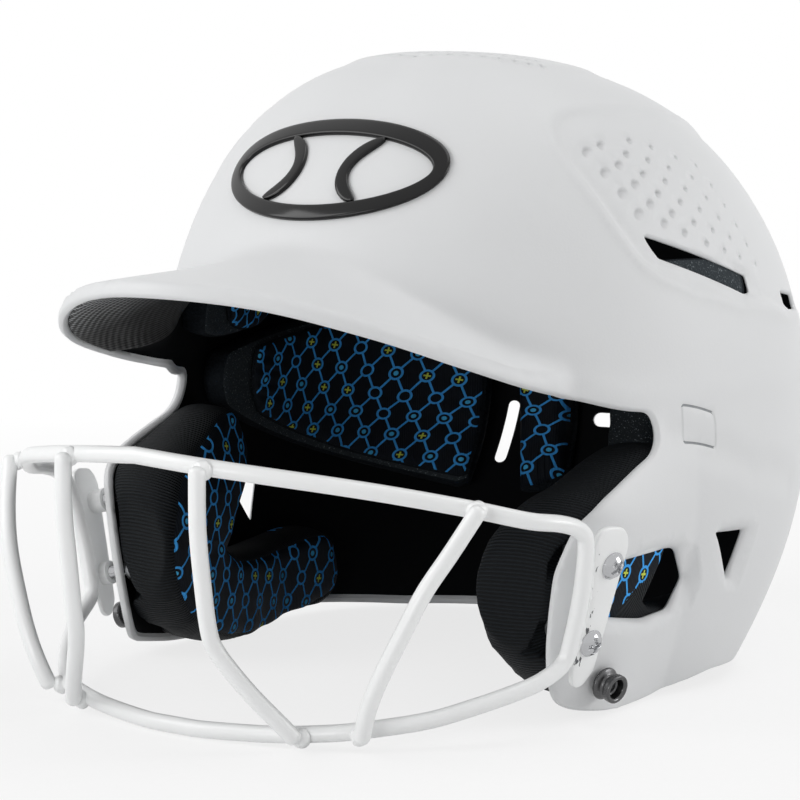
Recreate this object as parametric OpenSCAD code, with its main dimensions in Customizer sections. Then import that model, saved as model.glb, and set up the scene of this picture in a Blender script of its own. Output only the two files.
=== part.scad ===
// Softball batting helmet with a wire face guard, standing on a table.
// +X is the wearer's left, -Y the front, +Z up; the table is at z = 0.

/* [Shell] */
// Half of the shell's width at its widest level
half_w = 108; // [106:0.5:110]
// Height of the widest level above the table
wide_z = 81; // [79:0.5:83]
// Height of the crown above the table
crown_z = 213.5; // [210:0.5:217]
// Reach of the dome in front of the middle plane
front_reach = 108; // [106:0.5:110]
// Reach of the dome behind the middle plane
rear_reach = 146; // [143:0.5:149]
// How much narrower the forehead is than the rear
egg = 25; // [23:0.5:27]
// Inward tuck of the cheeks 100 mm below the widest level
side_tuck = 22; // [20:0.5:24]
// Inward tuck of the nape 100 mm below the widest level
nape_tuck = 66; // [62:1:70]
// Thickness of the moulded wall
wall = 3.2; // [3:0.1:3.5]

/* [Brim] */
// Reach of the brim's tip in front of the middle plane
brim_reach = 150; // [147:0.5:153]
// Height of the brim's lower lip at the tip
brim_z = 138.5; // [136:0.5:140]
// Height of the rolled lip round the brim
lip_h = 5; // [4:0.5:6]
// Height of the hollow between the forehead and the brim
root_h = 8.5; // [7.5:0.5:10]
// Thickness of the black liner under the brim
liner_t = 1.2; // [0.8:0.1:1.6]

/* [Face opening] */
// Distance from the middle plane forward to the opening's upper corner
corner_y = 21; // [19:0.5:23]
// Height of the opening's upper corner
corner_z = 98; // [96:0.5:100]
// Distance from the middle plane forward to the cheek's front edge
cheek_y = 66; // [65:0.5:67]

/* [Face guard] */
// Diameter of the coated guard wire
wire_d = 5.4; // [4.8:0.1:6]
// Reach of the guard's bars in front of the middle plane
guard_reach = 161; // [157:0.5:165]
// Height of the rim's upper part where the centre bars cross it
guard_top_z = 88.5; // [86:0.5:91]
// Gap between the rim's lowest part and the table
guard_low = 0.2; // [0:0.1:1]
// Distance of each centre bar's top from the middle of the guard
centre_bar_x = 27.6; // [24:0.2:32]
// Gap between crossing wires and between the rim and its plates
wire_gap = 0.1; // [0.05:0.05:0.3]
// Thickness of the mounting plates
plate_t = 2; // [1.5:0.1:2.5]
// Height of the mounting plates
plate_h = 54; // [50:0.5:56]

/* [Fasteners] */
// Diameter of the guard screws
screw_d = 4; // [3.5:0.1:4.4]
// Diameter of the guard screws' domed heads
head_d = 9; // [8:0.1:10]
// Height of the guard screws' domed heads
head_h = 2.8; // [2.4:0.1:3.2]
// Distance between the two screws of one side
screw_pitch = 26; // [24:0.5:28]
// Outer diameter of the chin strap stud's cap
stud_cap_d = 9.6; // [9:0.1:10.5]
// Height of the chin strap stud above the shell
stud_h = 8; // [7:0.5:9]

/* [Padding] */
// Thickness of the pads round the head
pad_t = 15; // [12:0.5:17]
// Half-width of the space between the two ear pads, at their front edge
ear_space = 62; // [60:0.5:64]
// Gap between soft pads and the shell
pad_gap = 0.6; // [0.5:0.1:0.8]
// Gap between the brim's liner and the shell
liner_gap = 0.4; // [0.3:0.05:0.5]

/* [Hidden] */

// Middle plane of the head, behind the origin
mid_y = 7.55;
// Levels between which the cheeks turn into the dome
cheek_z = 64;
dome_z = 104;
// Fullness of the dome's profile at the front, the sides and the rear
round_f = 1.6;
round_s = 2.45;
round_r = 2.35;
// Squareness and reach of the cheeks' plan, and how far they stand wide
cheek_n = 5;
cheek_reach = 77;
cheek_out = 3;
// The shell's mesh: the columns' angles, closer where the cheeks turn in, and
// the rows of the dome, the hollow and the cheek
turns = concat([for (a = [-45:2.5:-20]) a], [for (a = [-15:5:195]) a],
               [for (a = [200:2.5:225]) a], [for (a = [230:5:310]) a]);
cols = len(turns);
dome_rows = 11;
hollow_rows = 4;
cheek_rows = 11;
base_z = -6;

// Brim lip from the tip round to the temple: angle from the front, then
// the part of the tip's overhang and of the tip's rise that is left there
lip_table = [[0, 1, 1], [14, 0.87, 0.93], [28, 0.74, 0.72], [41, 0.57, 0.46],
             [52, 0.26, 0.26], [64, 0, 0.12], [78, 0, 0], [180, 0, 0]];
// Reach at which the lip meets the temple
temple_reach = 98.5;

function blend(x) = let (c = min(1, max(0, x))) c * c * (3 - 2 * c);
function mix(a, b, k) = a + (b - a) * k;
function unit(v) = v / norm(v);

// Smooth value of one column of a table at x, through every row
function row_of(tab, x, i = 0) =
  i >= len(tab) - 2 || x < tab[i + 1][0] ? i : row_of(tab, x, i + 1);
function slope(tab, i, c) =
  let (a = max(0, i - 1), b = min(len(tab) - 1, i + 1))
  (tab[b][c] - tab[a][c]) / (tab[b][0] - tab[a][0]);
function smooth_at(tab, x, c) =
  let (
    i = row_of(tab, x),
    w = tab[i + 1][0] - tab[i][0],
    u = min(1, max(0, (x - tab[i][0]) / w)),
    m0 = (i == 0 ? 0 : slope(tab, i, c)) * w,
    m1 = slope(tab, i + 1, c) * w
  )
  (2 * u^3 - 3 * u^2 + 1) * tab[i][c] + (u^3 - 2 * u^2 + u) * m0
    + (3 * u^2 - 2 * u^3) * tab[i + 1][c] + (u^3 - u^2) * m1;

// Radius of the shell's outside about the head's axis, at angle t and height z:
// an egg-shaped plan that squares up towards the cheeks, under a domed profile
function shell_r(t, z) =
  let (
    c = abs(cos(t)), s = sin(t), fwd = max(-s, 0), back = max(s, 0),
    w = blend((z - cheek_z) / (dome_z - cheek_z)),
    n = s < 0 ? mix(cheek_n, 2, w) : 2,
    half = half_w + egg * (back - fwd * w) + cheek_out * (1 - w) * fwd,
    reach = s < 0 ? 1 / mix(1 / cheek_reach, 1 / front_reach, w) : rear_reach,
    plan = pow(pow(c / half, n) + pow(abs(s) / reach, n), -1 / n),
    p = round_f * fwd^2 + round_s * c^2 + round_r * back^2,
    up = min(0.9999, max(0, (z - wide_z) / (crown_z - wide_z))),
    down = max(0, (wide_z - z) / 100)
  )
  plan * pow(1 - pow(up, p), 1 / p) - (side_tuck * c^2 + nape_tuck * back^2) * down^2;

// Height of the lip's lower edge, and how far it overhangs the dome
function from_front(t) = acos(-sin(t));
function lip_z(t) = corner_z + (brim_z - corner_z) * smooth_at(lip_table, from_front(t), 2);
function overhang(t) =
  let (f = from_front(t))
  f > 66 ? 0 : max(0, temple_reach + (brim_reach - temple_reach) * smooth_at(lip_table, f, 1)
    - shell_r(t, lip_z(t))) * (1 - blend((f - 58) / 8));

function bezier(a, b, c, d, u) =
  a * (1 - u)^3 + 3 * b * u * (1 - u)^2 + 3 * c * u^2 * (1 - u) + d * u^3;

// One column of the shell's outside, as radius and height, from crown to base
function column(t) =
  let (
    ze = lip_z(t), out = overhang(t), re = shell_r(t, ze) + out,
    zr = ze + lip_h + root_h,
    a_root = asin((zr - wide_z) / (crown_z - wide_z)),
    p0 = [shell_r(t, zr), zr], p3 = [re, ze + lip_h],
    d0 = unit([shell_r(t, zr - 4) - p0[0], -4]),
    g = min(1, out / 20),
    d1 = unit(mix(unit([shell_r(t, ze) - shell_r(t, ze + 6), -6]), [1, -0.08], g)),
    reach = norm(p3 - p0)
  )
  concat(
    [for (i = [1:dome_rows])
      let (a = 90 - (90 - a_root) * i / dome_rows, z = wide_z + (crown_z - wide_z) * sin(a))
      [shell_r(t, z), z]],
    [for (i = [1:hollow_rows])
      bezier(p0, p0 + d0 * mix(reach / 3, root_h * 0.8, g), p3 - d1 * reach * mix(1 / 3, 0.5, g), p3,
             i / hollow_rows)],
    [[re, ze]],
    [for (i = [1:cheek_rows])
      let (u = i / cheek_rows, z = mix(ze, base_z, u))
      [shell_r(t, z) + out * (1 - blend(u * 3)), z]]
  );

// The same column moved inwards by d, square to the profile
function inset(col, d) =
  [for (i = [0:len(col) - 1])
    let (
      a = i == 0 ? [0, crown_z] : col[i - 1],
      b = i == len(col) - 1 ? col[i] : col[i + 1],
      v = unit(b - a)
    )
    [max(0.5, col[i][0] + v[1] * d), col[i][1] - v[0] * d]];

function place(t, p) = [p[0] * cos(t), mid_y + p[0] * sin(t), p[1]];

// A point on the shell at angle t and height z, moved inwards by d
function on_shell(t, z, d) =
  let (v = unit([shell_r(t, z - 2) - shell_r(t, z + 2), -4]))
  place(t, [shell_r(t, z) + v[1] * d, z - v[0] * d]);

// Angle at which the shell passes a given y (left side) or x (front) at height z
function side_t(y, z, lo = -85, hi = 85, k = 16) =
  let (t = (lo + hi) / 2)
  k == 0 ? t
         : mid_y + shell_r(t, z) * sin(t) < y ? side_t(y, z, t, hi, k - 1) : side_t(y, z, lo, t, k - 1);
function front_t(x, z, lo = 200, hi = 340, k = 16) =
  let (t = (lo + hi) / 2)
  k == 0 ? t : shell_r(t, z) * cos(t) < x ? front_t(x, z, t, hi, k - 1) : front_t(x, z, lo, t, k - 1);
function side_x(y, z) = let (t = side_t(y, z)) shell_r(t, z) * cos(t);
// Half-width at the depth d under the shell's outside there
function under_x(y, z, d) =
  let (m = (side_x(y + 1, z) - side_x(y - 1, z)) / 2, k = (side_x(y, z + 1) - side_x(y, z - 1)) / 2)
  side_x(y, z) - d * norm([1, m, k]);

// Height of the dome's outside above a place of the plan
function top_z(x, y, lo = 100, hi = crown_z, k = 18) =
  let (z = (lo + hi) / 2)
  k == 0 ? z
         : shell_r(atan2(y - mid_y, x), z) > norm([x, y - mid_y]) ? top_z(x, y, z, hi, k - 1)
                                                                   : top_z(x, y, lo, z, k - 1);

// A closed skin over a grid of rows and columns of points
function grid_faces(rows, n, wrap) =
  [for (i = [0:rows - 2], j = [0:(wrap ? n - 1 : n - 2)])
    let (a = i * n + j, b = i * n + (j + 1) % n)
    each [[a, b, b + n], [a, b + n, a + n]]];

// A closed tube of one ring per row: with flat ends, or joined into a loop
module tube_of(rings, loop = false) {
  n = len(rings[0]);
  rows = len(rings);
  end = (rows - 1) * n;
  polyhedron(
    [for (r = rings) each r],
    concat(
      grid_faces(rows, n, true),
      loop ? [for (j = [0:n - 1]) each [[end + j, end + (j + 1) % n, (j + 1) % n],
                                        [end + j, (j + 1) % n, j]]]
           : [for (j = [1:n - 2]) each [[0, j + 1, j], [end, end + j, end + j + 1]]]
    ),
    convexity = 8
  );
}

// A closed slab between two grids of points with nu points in a row
module slab(outer, inner, nu) {
  n = len(outer);
  nv = n / nu;
  rim = concat([for (j = [0:nu - 2]) j], [for (i = [0:nv - 2]) i * nu + nu - 1],
               [for (j = [nu - 1:-1:1]) (nv - 1) * nu + j], [for (i = [nv - 1:-1:1]) i * nu]);
  polyhedron(
    concat(outer, inner),
    concat(
      [for (f = grid_faces(nv, nu, false)) [f[2], f[1], f[0]]],
      [for (f = grid_faces(nv, nu, false)) f + [n, n, n]],
      [for (k = [0:len(rim) - 1])
        let (a = rim[k], b = rim[(k + 1) % len(rim)])
        each [[a, b, b + n], [a, b + n, a + n]]]
    ),
    convexity = 6
  );
}

// A smooth path through points, with k steps in each span
function path(p, k) =
  let (n = len(p))
  concat(
    [for (i = [0:n - 2], j = [0:k - 1])
      let (
        u = j / k,
        a = i == 0 ? 2 * p[0] - p[1] : p[i - 1], b = p[i], c = p[i + 1],
        d = i == n - 2 ? 2 * p[n - 1] - p[n - 2] : p[i + 2]
      )
      0.5 * (2 * b + (c - a) * u + (2 * a - 5 * b + 4 * c - d) * u^2
             + (3 * b - a - 3 * c + d) * u^3)],
    [p[n - 1]]
  );

// A round wire along a path; the point "core" is never on the path's own line
module wire(p, d, core, loop = false, sides = 8) {
  n = len(p);
  tube_of([for (i = [0:n - 1])
    let (
      after = loop ? (i + 1) % n : min(n - 1, i + 1),
      before = loop ? (i + n - 1) % n : max(0, i - 1),
      t = unit(p[after] - p[before]),
      a = unit(cross(t, p[i] - core)),
      b = cross(t, a)
    )
    [for (j = [0:sides - 1]) p[i] + (a * cos(360 * j / sides) - b * sin(360 * j / sides)) * d / 2]],
    loop);
}

// A square of -1..1 bowed into a rounded patch
function bow(u, v, k) = [u * sqrt(1 - v * v * k), v * sqrt(1 - u * u * k)];
// Share of a pad's thickness at a place of that square: flat with round edges
function crown_of(u, v, rim) = rim + (1 - rim) * pow((1 - u^4) * (1 - v^4), 0.35);

// A crowned pad on the inside of the shell. Its four corners are angle and
// height: front low, rear low, rear high, front high.
module shell_pad(corners, thick, sink = 0, rim = 0.35, nu = 9, nv = 7, round = 0.28) {
  function spot(u, v) =
    let (c = bow(u, v, round))
    mix(mix(corners[0], corners[1], (c[0] + 1) / 2), mix(corners[3], corners[2], (c[0] + 1) / 2),
        (c[1] + 1) / 2);
  function skin(k) =
    [for (i = [0:nv - 1], j = [0:nu - 1])
      let (u = 2 * j / (nu - 1) - 1, v = 2 * i / (nv - 1) - 1, s = spot(u, v))
      on_shell(s[0], s[1], wall + pad_gap + sink + k * thick * crown_of(u, v, rim))];
  slab(skin(0), skin(1), nu);
}

// Side views below are outlines of y, counted from the middle plane, and height
function from_mid(outline) = [for (p = outline) p + [mid_y, 0]];

// A prism across the helmet, from a side view
module across(outline) {
  translate([-200, 0, 0]) rotate([90, 0, 90]) linear_extrude(400) polygon(from_mid(outline));
}

// A convex cutter on both sides, from a side view
module cheek_cut(outline) {
  for (s = [-1, 1])
    hull() for (p = from_mid(outline))
      translate([s * half_w, p[0], p[1]]) cube([60, 0.01, 0.01], center = true);
}

// A rounded slot cut through the rear of the shell, between two points
module rear_slot(a, b, d) {
  for (s = [-1, 1])
    hull() for (p = [a, b])
      translate([s * p[0], 90, p[1]]) rotate([-90, 0, 0]) cylinder(d = d, h = 90, $fn = 12);
}

// The opening's cut trims this much off the lip
lip_trim = 0.06;
lip_line = [for (f = [acos(corner_y / temple_reach), 64, 52, 41, 28, 14, 0])
  let (t = 270 + f, r = shell_r(t, lip_z(t)) + overhang(t))
  [r * sin(t), lip_z(t) + lip_trim]];
edge_front = -cheek_y;

// Space under the brim and between the cheeks
module face_opening() {
  across(concat(
    [for (p = lip_line) p],
    [[-220, lip_line[6][1] + 4], [-220, -30], [edge_front + 14, -30]],
    [[edge_front + 4.5, 9.3], [edge_front + 2.3, 17.4], [edge_front + 1, 26], [edge_front + 0.2, 37.3],
     [edge_front, 50.3], [edge_front + 2.5, 61], [edge_front + 5, 66.7], [edge_front + 15, 73.7],
     [edge_front + 25, 78.1]],
    [for (p = [[-9.5, -15.7], [-2.6, -13.4], [1.2, -9.4], [2, -5], [1, -1.4]])
      p + [-corner_y, corner_z]]
  ));
}

// Everything below the shell's lower edge
module below_edge() {
  across([[-90, 26], [edge_front - 2, 14], [edge_front + 2.5, 9], [edge_front + 7.6, 5.7],
          [edge_front + 16, 3.3], [-34, 0.9], [-21, 0.4], [-9, 0.4], [6, 2.2], [25, 4.4], [35, 3.8],
          [56, 2.2], [78, 0], [200, 0], [200, -40], [-90, -40]]);
}

// Frame of the left mounting plate: x out of its face at the upper screw,
// y to the rear and z up the plate. It stands off the cheek and leans with it.
plate_y = mid_y - 57.8;
plate_z = 53.7;
plate_stand = 9.16;
cheek_x = side_x(plate_y, plate_z);
cheek_lean = atan((cheek_x - side_x(plate_y, plate_z - 25)) / 25);
plate_place = [cheek_x + plate_stand, plate_y, plate_z];
plate_turn = [-7.7, cheek_lean + 4.862, -12];
screw_places = [0, -screw_pitch];
module on_plate() {
  translate(plate_place) rotate(plate_turn) children();
}

// Frame of the left chin strap stud: z out of the shell
stud_y = mid_y - 46;
stud_z = 13.5;
module on_stud() {
  translate([side_x(stud_y, stud_z), stud_y, stud_z]) rotate([0, 103.3, -9]) children();
}

module both_sides() {
  children();
  mirror([1, 0, 0]) children();
}

module shell_skin() {
  skin = [for (t = turns) column(t)];
  inner = [for (c = skin) inset(c, wall)];
  rows = len(skin[0]);
  n = rows * cols;
  polyhedron(
    concat(
      [for (i = [0:rows - 1], k = [0:cols - 1]) place(turns[k], skin[k][i])],
      [for (i = [0:rows - 1], k = [0:cols - 1]) place(turns[k], inner[k][i])],
      [[0, mid_y, crown_z], [0, mid_y, crown_z - wall]]
    ),
    concat(
      [for (f = grid_faces(rows, cols, true)) f],
      [for (f = grid_faces(rows, cols, true)) [f[2] + n, f[1] + n, f[0] + n]],
      [for (k = [0:cols - 1]) [2 * n, (k + 1) % cols, k]],
      [for (k = [0:cols - 1]) [2 * n + 1, n + k, n + (k + 1) % cols]],
      [for (k = [0:cols - 1])
        let (a = (rows - 1) * cols + k, b = (rows - 1) * cols + (k + 1) % cols)
        each [[a, b, b + n], [a, b + n, a + n]]]
    ),
    convexity = 10
  );
}

// Ear hole, three-cornered vent and side slots, as y and height
ear_hole = [[-41, 51.8], [-13, 52.2], [-7.6, 51.2], [0.2, 40], [-6.6, 30], [-23, 29.6],
            [-45.7, 33.6], [-47.7, 39.6]];
vent_triangle = [[12, 54], [30, 53], [23, 36.5]];
side_slot = [[-10, 155], [-7, 147.5], [34, 133.4], [38.5, 133.6], [38, 139.4]];
side_slot_rear = [[65, 132], [67.5, 125.5], [90, 124], [88, 129]];

module outer_shell() {
  color("white")
    difference() {
      shell_skin();
      face_opening();
      below_edge();
      cheek_cut(ear_hole);
      cheek_cut(vent_triangle);
      cheek_cut(side_slot);
      cheek_cut(side_slot_rear);
      rear_slot([58.6, 54], [56, 75], 4);
      rear_slot([13.5, 70.3], [22, 70.3], 5.6);
      both_sides() on_plate() for (h = screw_places)
        hull() translate([-40, 0, h]) rotate([0, 90, 0]) cylinder(d = screw_d + 0.6, h = 60, $fn = 12);
      both_sides() on_stud() hull() translate([0, 0, -20]) cylinder(d = 4.6, h = 40, $fn = 12);
    }
}

module brim_liner() {
  spread = [for (t = [220:5:320]) t];
  function line(t, d) =
    let (c = inset(column(t), wall + d), k = dome_rows - 1)
    [for (i = [0:hollow_rows]) i < hollow_rows ? c[k + i] : mix(c[k + i - 1], c[k + i], 0.7)];
  function layer(d) =
    let (lines = [for (t = spread) line(t, d)])
    [for (i = [0:hollow_rows], j = [0:len(spread) - 1]) place(spread[j], lines[j][i])];
  color("#1c1e20")
    slab(layer(liner_gap + liner_t), layer(liner_gap), len(spread));
}

// A raised oval ring with two curved seam bars in it, on the forehead
badge_w = 88;
badge_h = 32;
badge_z = 175;
badge_t = 1.4;
badge_bar = 4.6;
module badge_band(p, w, loop) {
  n = len(p);
  tube_of([for (i = [0:n - 1])
    let (
      after = loop ? (i + 1) % n : min(n - 1, i + 1),
      before = loop ? (i + n - 1) % n : max(0, i - 1),
      t = unit(p[after] - p[before]),
      half = w / 2 * (loop ? 1 : sqrt(max(0.06, 1 - (2 * i / (n - 1) - 1)^4)))
    )
    [for (q = [[half, 0.15], [-half, 0.15], [-half, 0.15 + badge_t], [half, 0.15 + badge_t]])
      let (x = p[i][0] - t[1] * q[0], z = badge_z + p[i][1] + t[0] * q[0])
      on_shell(front_t(x, z), z, -q[1])]],
    loop);
}
module front_badge() {
  color("#101113") {
    badge_band([for (a = [0:12:348]) [(badge_w - badge_bar) / 2 * cos(a), (badge_h - badge_bar) / 2 * sin(a)]],
               badge_bar, true);
    for (s = [-1, 1])
      badge_band([for (a = [-50:10:50]) [s * (34 - 24 * cos(a)), 12.6 * sin(a)]], badge_bar * 0.9, false);
  }
}

module forehead_pad() {
  color("#22262a")
    shell_pad([[236, 158], [304, 158], [300, 186], [240, 186]], pad_t, nu = 11);
}

module crown_pad() {
  nu = 9;
  function layer(k) =
    [for (i = [0:nu - 1], j = [0:nu - 1])
      let (
        u = 2 * j / (nu - 1) - 1, v = 2 * i / (nu - 1) - 1, c = bow(u, v, 0.45),
        x = 40 * c[0], y = mid_y + 14 + 48 * c[1]
      )
      [x, y, top_z(x, y) - wall - 1.4 - k * pad_t * crown_of(u, v, 0.35)]];
  color("#22262a")
    slab(layer(0), layer(1), nu);
}

module nape_pad() {
  color("#22262a")
    shell_pad([[85.6, 30], [94.4, 30], [94.8, 112], [85.2, 112]], pad_t, nu = 5, nv = 9);
}

// Foam blocks at the temple and the side, and the fabric pads on them
foam_t = pad_t * 0.7;
cover_t = pad_t - foam_t;
module temple_foam() {
  color("#33373a")
    shell_pad([[-20, 114], [12, 111.5], [24, 148], [-26, 146]], foam_t, rim = 0.8);
}
module temple_pad() {
  color("#1e6aa8")
    shell_pad([[-4, 116], [12, 114.5], [21, 144], [-10, 143]], cover_t, foam_t + 0.4, rim = 0.3);
}
module side_foam() {
  color("#33373a")
    shell_pad([[-2, 86], [62, 36], [64.5, 123], [-2, 105]], foam_t, rim = 0.8, nu = 11, round = 0.14);
}
module side_pad() {
  color("#1e6aa8")
    shell_pad([[9.5, 81], [61.5, 38.5], [64, 121], [9, 106.5]], cover_t, foam_t + 0.4, rim = 0.3, nu = 11,
              round = 0.14);
}
module rear_pad() {
  color("#1e6aa8")
    shell_pad([[69.5, 38], [77.8, 44], [77.8, 106], [68.5, 108]], pad_t, nu = 5, nv = 9, round = 0.12);
}

// Side view of the ear pad's middle line, and the half-width there, from above
// the ear round the ear hole to the rear
ear_line = [[-4, 78, 10], [-16, 72, 15], [-34, 65, 27], [-42, 53, 27], [-45, 42, 23], [-40, 29, 18],
            [-25, 19, 14], [-6, 15.5, 15], [18, 16, 15], [38, 19, 14], [52, 21, 12]];
// The pad's section: share of the half-width, and share of the depth
ear_section = [[-1.04, 0], [0, 0], [1.04, 0], [1.12, 0.3], [1.08, 0.62], [0.95, 0.86], [0.72, 0.97], [0, 1],
               [-0.72, 0.97], [-0.95, 0.86], [-1.08, 0.62], [-1.12, 0.3]];
// The space between the ear pads widens to this half-width behind
ear_space_rear = ear_space + 20;
nut_room = 0.6;

module ear_pad() {
  mid = path(ear_line, 2);
  n = len(mid);
  function face_x(y) = min(ear_space_rear, ear_space + 0.24 * (y - edge_front));
  function ring(i) =
    let (
      a = mid[max(0, i - 1)], b = mid[min(n - 1, i + 1)],
      t = unit([b[0] - a[0], b[1] - a[1]]),
      edge = min(i, n - 1 - i),
      round = edge == 0 ? 0.5 : edge == 1 ? 0.86 : 1
    )
    [for (q = ear_section)
      let (
        y = max(edge_front + mix(3.4, -2.5, q[1]), mid[i][0] + t[1] * q[0] * mid[i][2] * round),
        z = max(1.4, mid[i][1] - t[0] * q[0] * mid[i][2] * round),
        x0 = under_x(mid_y + y, z, wall + 2 * pad_gap),
        x1 = face_x(y)
      )
      [mix(x0, x1, q[1] * (0.6 + 0.4 * round)), mid_y + y, z]];
  color("#16191d")
    difference() {
      tube_of([for (i = [n - 1:-1:0]) ring(i)]);
      on_plate() for (h = screw_places)
        translate([-25, 0, h]) rotate([0, 90, 0]) cylinder(d = nut_d + 2 * nut_room, h = 20, $fn = 48);
      on_stud() translate([0, 0, -12]) cylinder(d = stud_back_d + 2 * nut_room, h = 12, $fn = 48);
    }
}

// Turn of a vector about x, then y, then z, and a point of the plate's frame
function spin(v, a) =
  let (
    p = [v[0], v[1] * cos(a[0]) - v[2] * sin(a[0]), v[1] * sin(a[0]) + v[2] * cos(a[0])],
    q = [p[0] * cos(a[1]) + p[2] * sin(a[1]), p[1], p[2] * cos(a[1]) - p[0] * sin(a[1])]
  )
  [q[0] * cos(a[2]) - q[1] * sin(a[2]), q[0] * sin(a[2]) + q[1] * cos(a[2]), q[2]];
function plate_point(p) = plate_place + spin([-plate_t / 2, p[0], p[1]], plate_turn);

// The rim's wire beside the plate, in the plate's own y and z
rim_on_plate = [[-13.6, 6], [-9.6, -10], [-8.1, -25], [-8.8, -33]];

// Depth of the rim where the centre bars cross it, above and below, and the
// half of the rim's loop from the top's middle round the cheek, whose places are
// shares of the guard's half-width
rim_y = mid_y - guard_reach + 1.5 * wire_d + wire_gap;
low_y = rim_y + 14.2;
low_z = guard_low + wire_d / 2;
guard_w = plate_place[0] - 3.4;
// A place from the rim's front (0) back to the upper screw (1), above and below
function top_run(k) = mix(rim_y, plate_place[1], k);
function low_run(k) = mix(low_y, plate_place[1], k);
rim_half = concat(
  [[0, top_run(-0.028), guard_top_z + 2], [centre_bar_x, rim_y, guard_top_z],
   [guard_w * 0.5741, top_run(0.192), guard_top_z - 4.9], [guard_w * 0.7222, top_run(0.32), guard_top_z - 8.2],
   [guard_w * 0.8667, top_run(0.484), guard_top_z - 12.7], [guard_w * 0.9676, top_run(0.619), guard_top_z - 16.7],
   [guard_w * 1.0056, top_run(0.735), guard_top_z - 18.6], [guard_w * 1.0185, top_run(0.825), guard_top_z - 21.6]],
  [for (p = rim_on_plate) plate_point(p)],
  [[guard_w * 0.9037, low_run(0.762), low_z + 15.7], [guard_w * 0.8648, low_run(0.656), low_z + 12.9],
   [guard_w * 0.7963, low_run(0.527), low_z + 9.5], [guard_w * 0.7037, low_run(0.374), low_z + 5.9],
   [guard_w * 0.5648, low_run(0.203), low_z + 3.4], [guard_w * 0.4685, low_run(0.134), low_z + 2.1],
   [guard_w * 0.3241, low_run(0.073), low_z + 0.7], [guard_w * 0.1157, low_run(0.01), low_z], [0, low_y, low_z]]
);
wire_pitch = wire_d + wire_gap;
bar_y = rim_y - wire_pitch;
bar_low_y = low_y - wire_pitch;
// The centre bars run from their tops out to this place where they cross the
// rim below, the first figure of each row being the part of that way
centre_low_x = guard_w * 0.4333;
centre_bar_line = [for (p = [
  [0, bar_y, guard_top_z + 1.1], [0, bar_y, guard_top_z - 17.5], [0, bar_y + 1.8, guard_top_z - 33.5],
  [0.0208, bar_y + 4.1, guard_top_z - 49.5], [0.0781, bar_y + 6.2, guard_top_z - 56],
  [0.2708, bar_low_y - 4.3, low_z + 22.1], [0.5313, bar_low_y + 0.1, low_z + 14.1],
  [0.8542, bar_low_y + 5.9, low_z + 5.1], [1, bar_low_y + 9, low_z + 0.4]
]) [mix(centre_bar_x, centre_low_x, p[0]), p[1], p[2]]];
// The outer bars stand in front of the rim's corners, square to it in plan
outer_shift = wire_pitch * [0.66, -0.75, 0];
outer_bar_line = [for (p = [
  [guard_w * 0.8759, top_run(0.49), guard_top_z - 10.9], [guard_w * 0.8222, top_run(0.412), guard_top_z - 24.5],
  [guard_w * 0.7704, top_run(0.355), guard_top_z - 35.8], [guard_w * 0.7259, top_run(0.3255), guard_top_z - 46.5],
  [guard_w * 0.6556, low_run(0.172), low_z + 23], [guard_w * 0.6093, low_run(0.17), low_z + 12],
  [guard_w * 0.5685, low_run(0.197), low_z + 1.2]]) p + outer_shift];
guard_core = [0, -40, 45];

module guard_rim_wire() {
  half = path(rim_half, 3);
  n = len(half);
  color("#eef1f2")
    wire(concat(half, [for (i = [n - 2:-1:1]) [-half[i][0], half[i][1], half[i][2]]]),
         wire_d, guard_core, loop = true);
}
module centre_bar() {
  color("#eef1f2")
    wire(path(centre_bar_line, 3), wire_d, guard_core);
}
module outer_bar() {
  color("#eef1f2")
    wire(path(outer_bar_line, 3), wire_d, guard_core);
}

// The mounting plate behind the guard's rim, drawn from the upper screw
plate_top = 12.5;
plate_rear = 5;
module guard_plate() {
  foot = plate_top - plate_h;
  beside = wire_d / 2 + 7 * wire_gap;
  color("#e6eaeb")
    on_plate()
      translate([-plate_t, 0, 0])
        difference() {
          rotate([90, 0, 90])
            linear_extrude(plate_t)
              polygon(concat(
                [for (p = rim_on_plate) [p[0] + beside, p[1]]],
                [[-3.4, foot + 1.6], [-0.8, foot], [2, foot + 1.2], [plate_rear, foot + 6],
                 [plate_rear, plate_top - 6], [plate_rear - 1.6, plate_top - 2.4],
                 [plate_rear - 4.4, plate_top], [rim_on_plate[0][0] + beside + 4, plate_top],
                 [rim_on_plate[0][0] + beside + 0.6, plate_top - 1.6]]
              ));
          for (h = screw_places)
            translate([-1, 0, h]) rotate([0, 90, 0]) cylinder(d = screw_d + 0.6, h = plate_t + 2, $fn = 48);
        }
}

spacer_d = 8.4;
nut_d = 9;
nut_t = 3;
screw_tip = 15.2 + wall;
// Room behind the plate at the height h above the upper screw: down to the
// shell's outside, and down to the nut's face under its wall
function spacer_t(h) = 5.3 + 0.085 * h;
function nut_x(h) = -12.2 - wall - 0.077 * h;
module guard_spacers() {
  color("#d9dcdd")
    both_sides() on_plate() for (h = screw_places)
      translate([-plate_t - 0.05 - spacer_t(h), 0, h])
        rotate([0, 90, 0])
          difference() {
            cylinder(d = spacer_d, h = spacer_t(h), $fn = 48);
            translate([0, 0, -1]) cylinder(d = screw_d + 0.5, h = spacer_t(h) + 2, $fn = 48);
          }
}

// A domed screw head with a cross recess, and its shank
module guard_screws() {
  crown_r = (head_d^2 / 4 + head_h^2) / (2 * head_h);
  color("#c9ccce")
    both_sides() on_plate() for (h = screw_places)
      translate([0.05, 0, h])
        rotate([0, 90, 0])
          difference() {
            union() {
              intersection() {
                translate([0, 0, head_h - crown_r]) sphere(r = crown_r, $fn = 64);
                cylinder(d = head_d, h = head_h + 1, $fn = 64);
              }
              translate([0, 0, -screw_tip]) cylinder(d = screw_d, h = screw_tip + 0.5, $fn = 48);
            }
            for (a = [0, 90])
              rotate([0, 0, a]) translate([-2, -0.5, head_h - 1.5]) cube([4, 1, 3]);
          }
}

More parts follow.
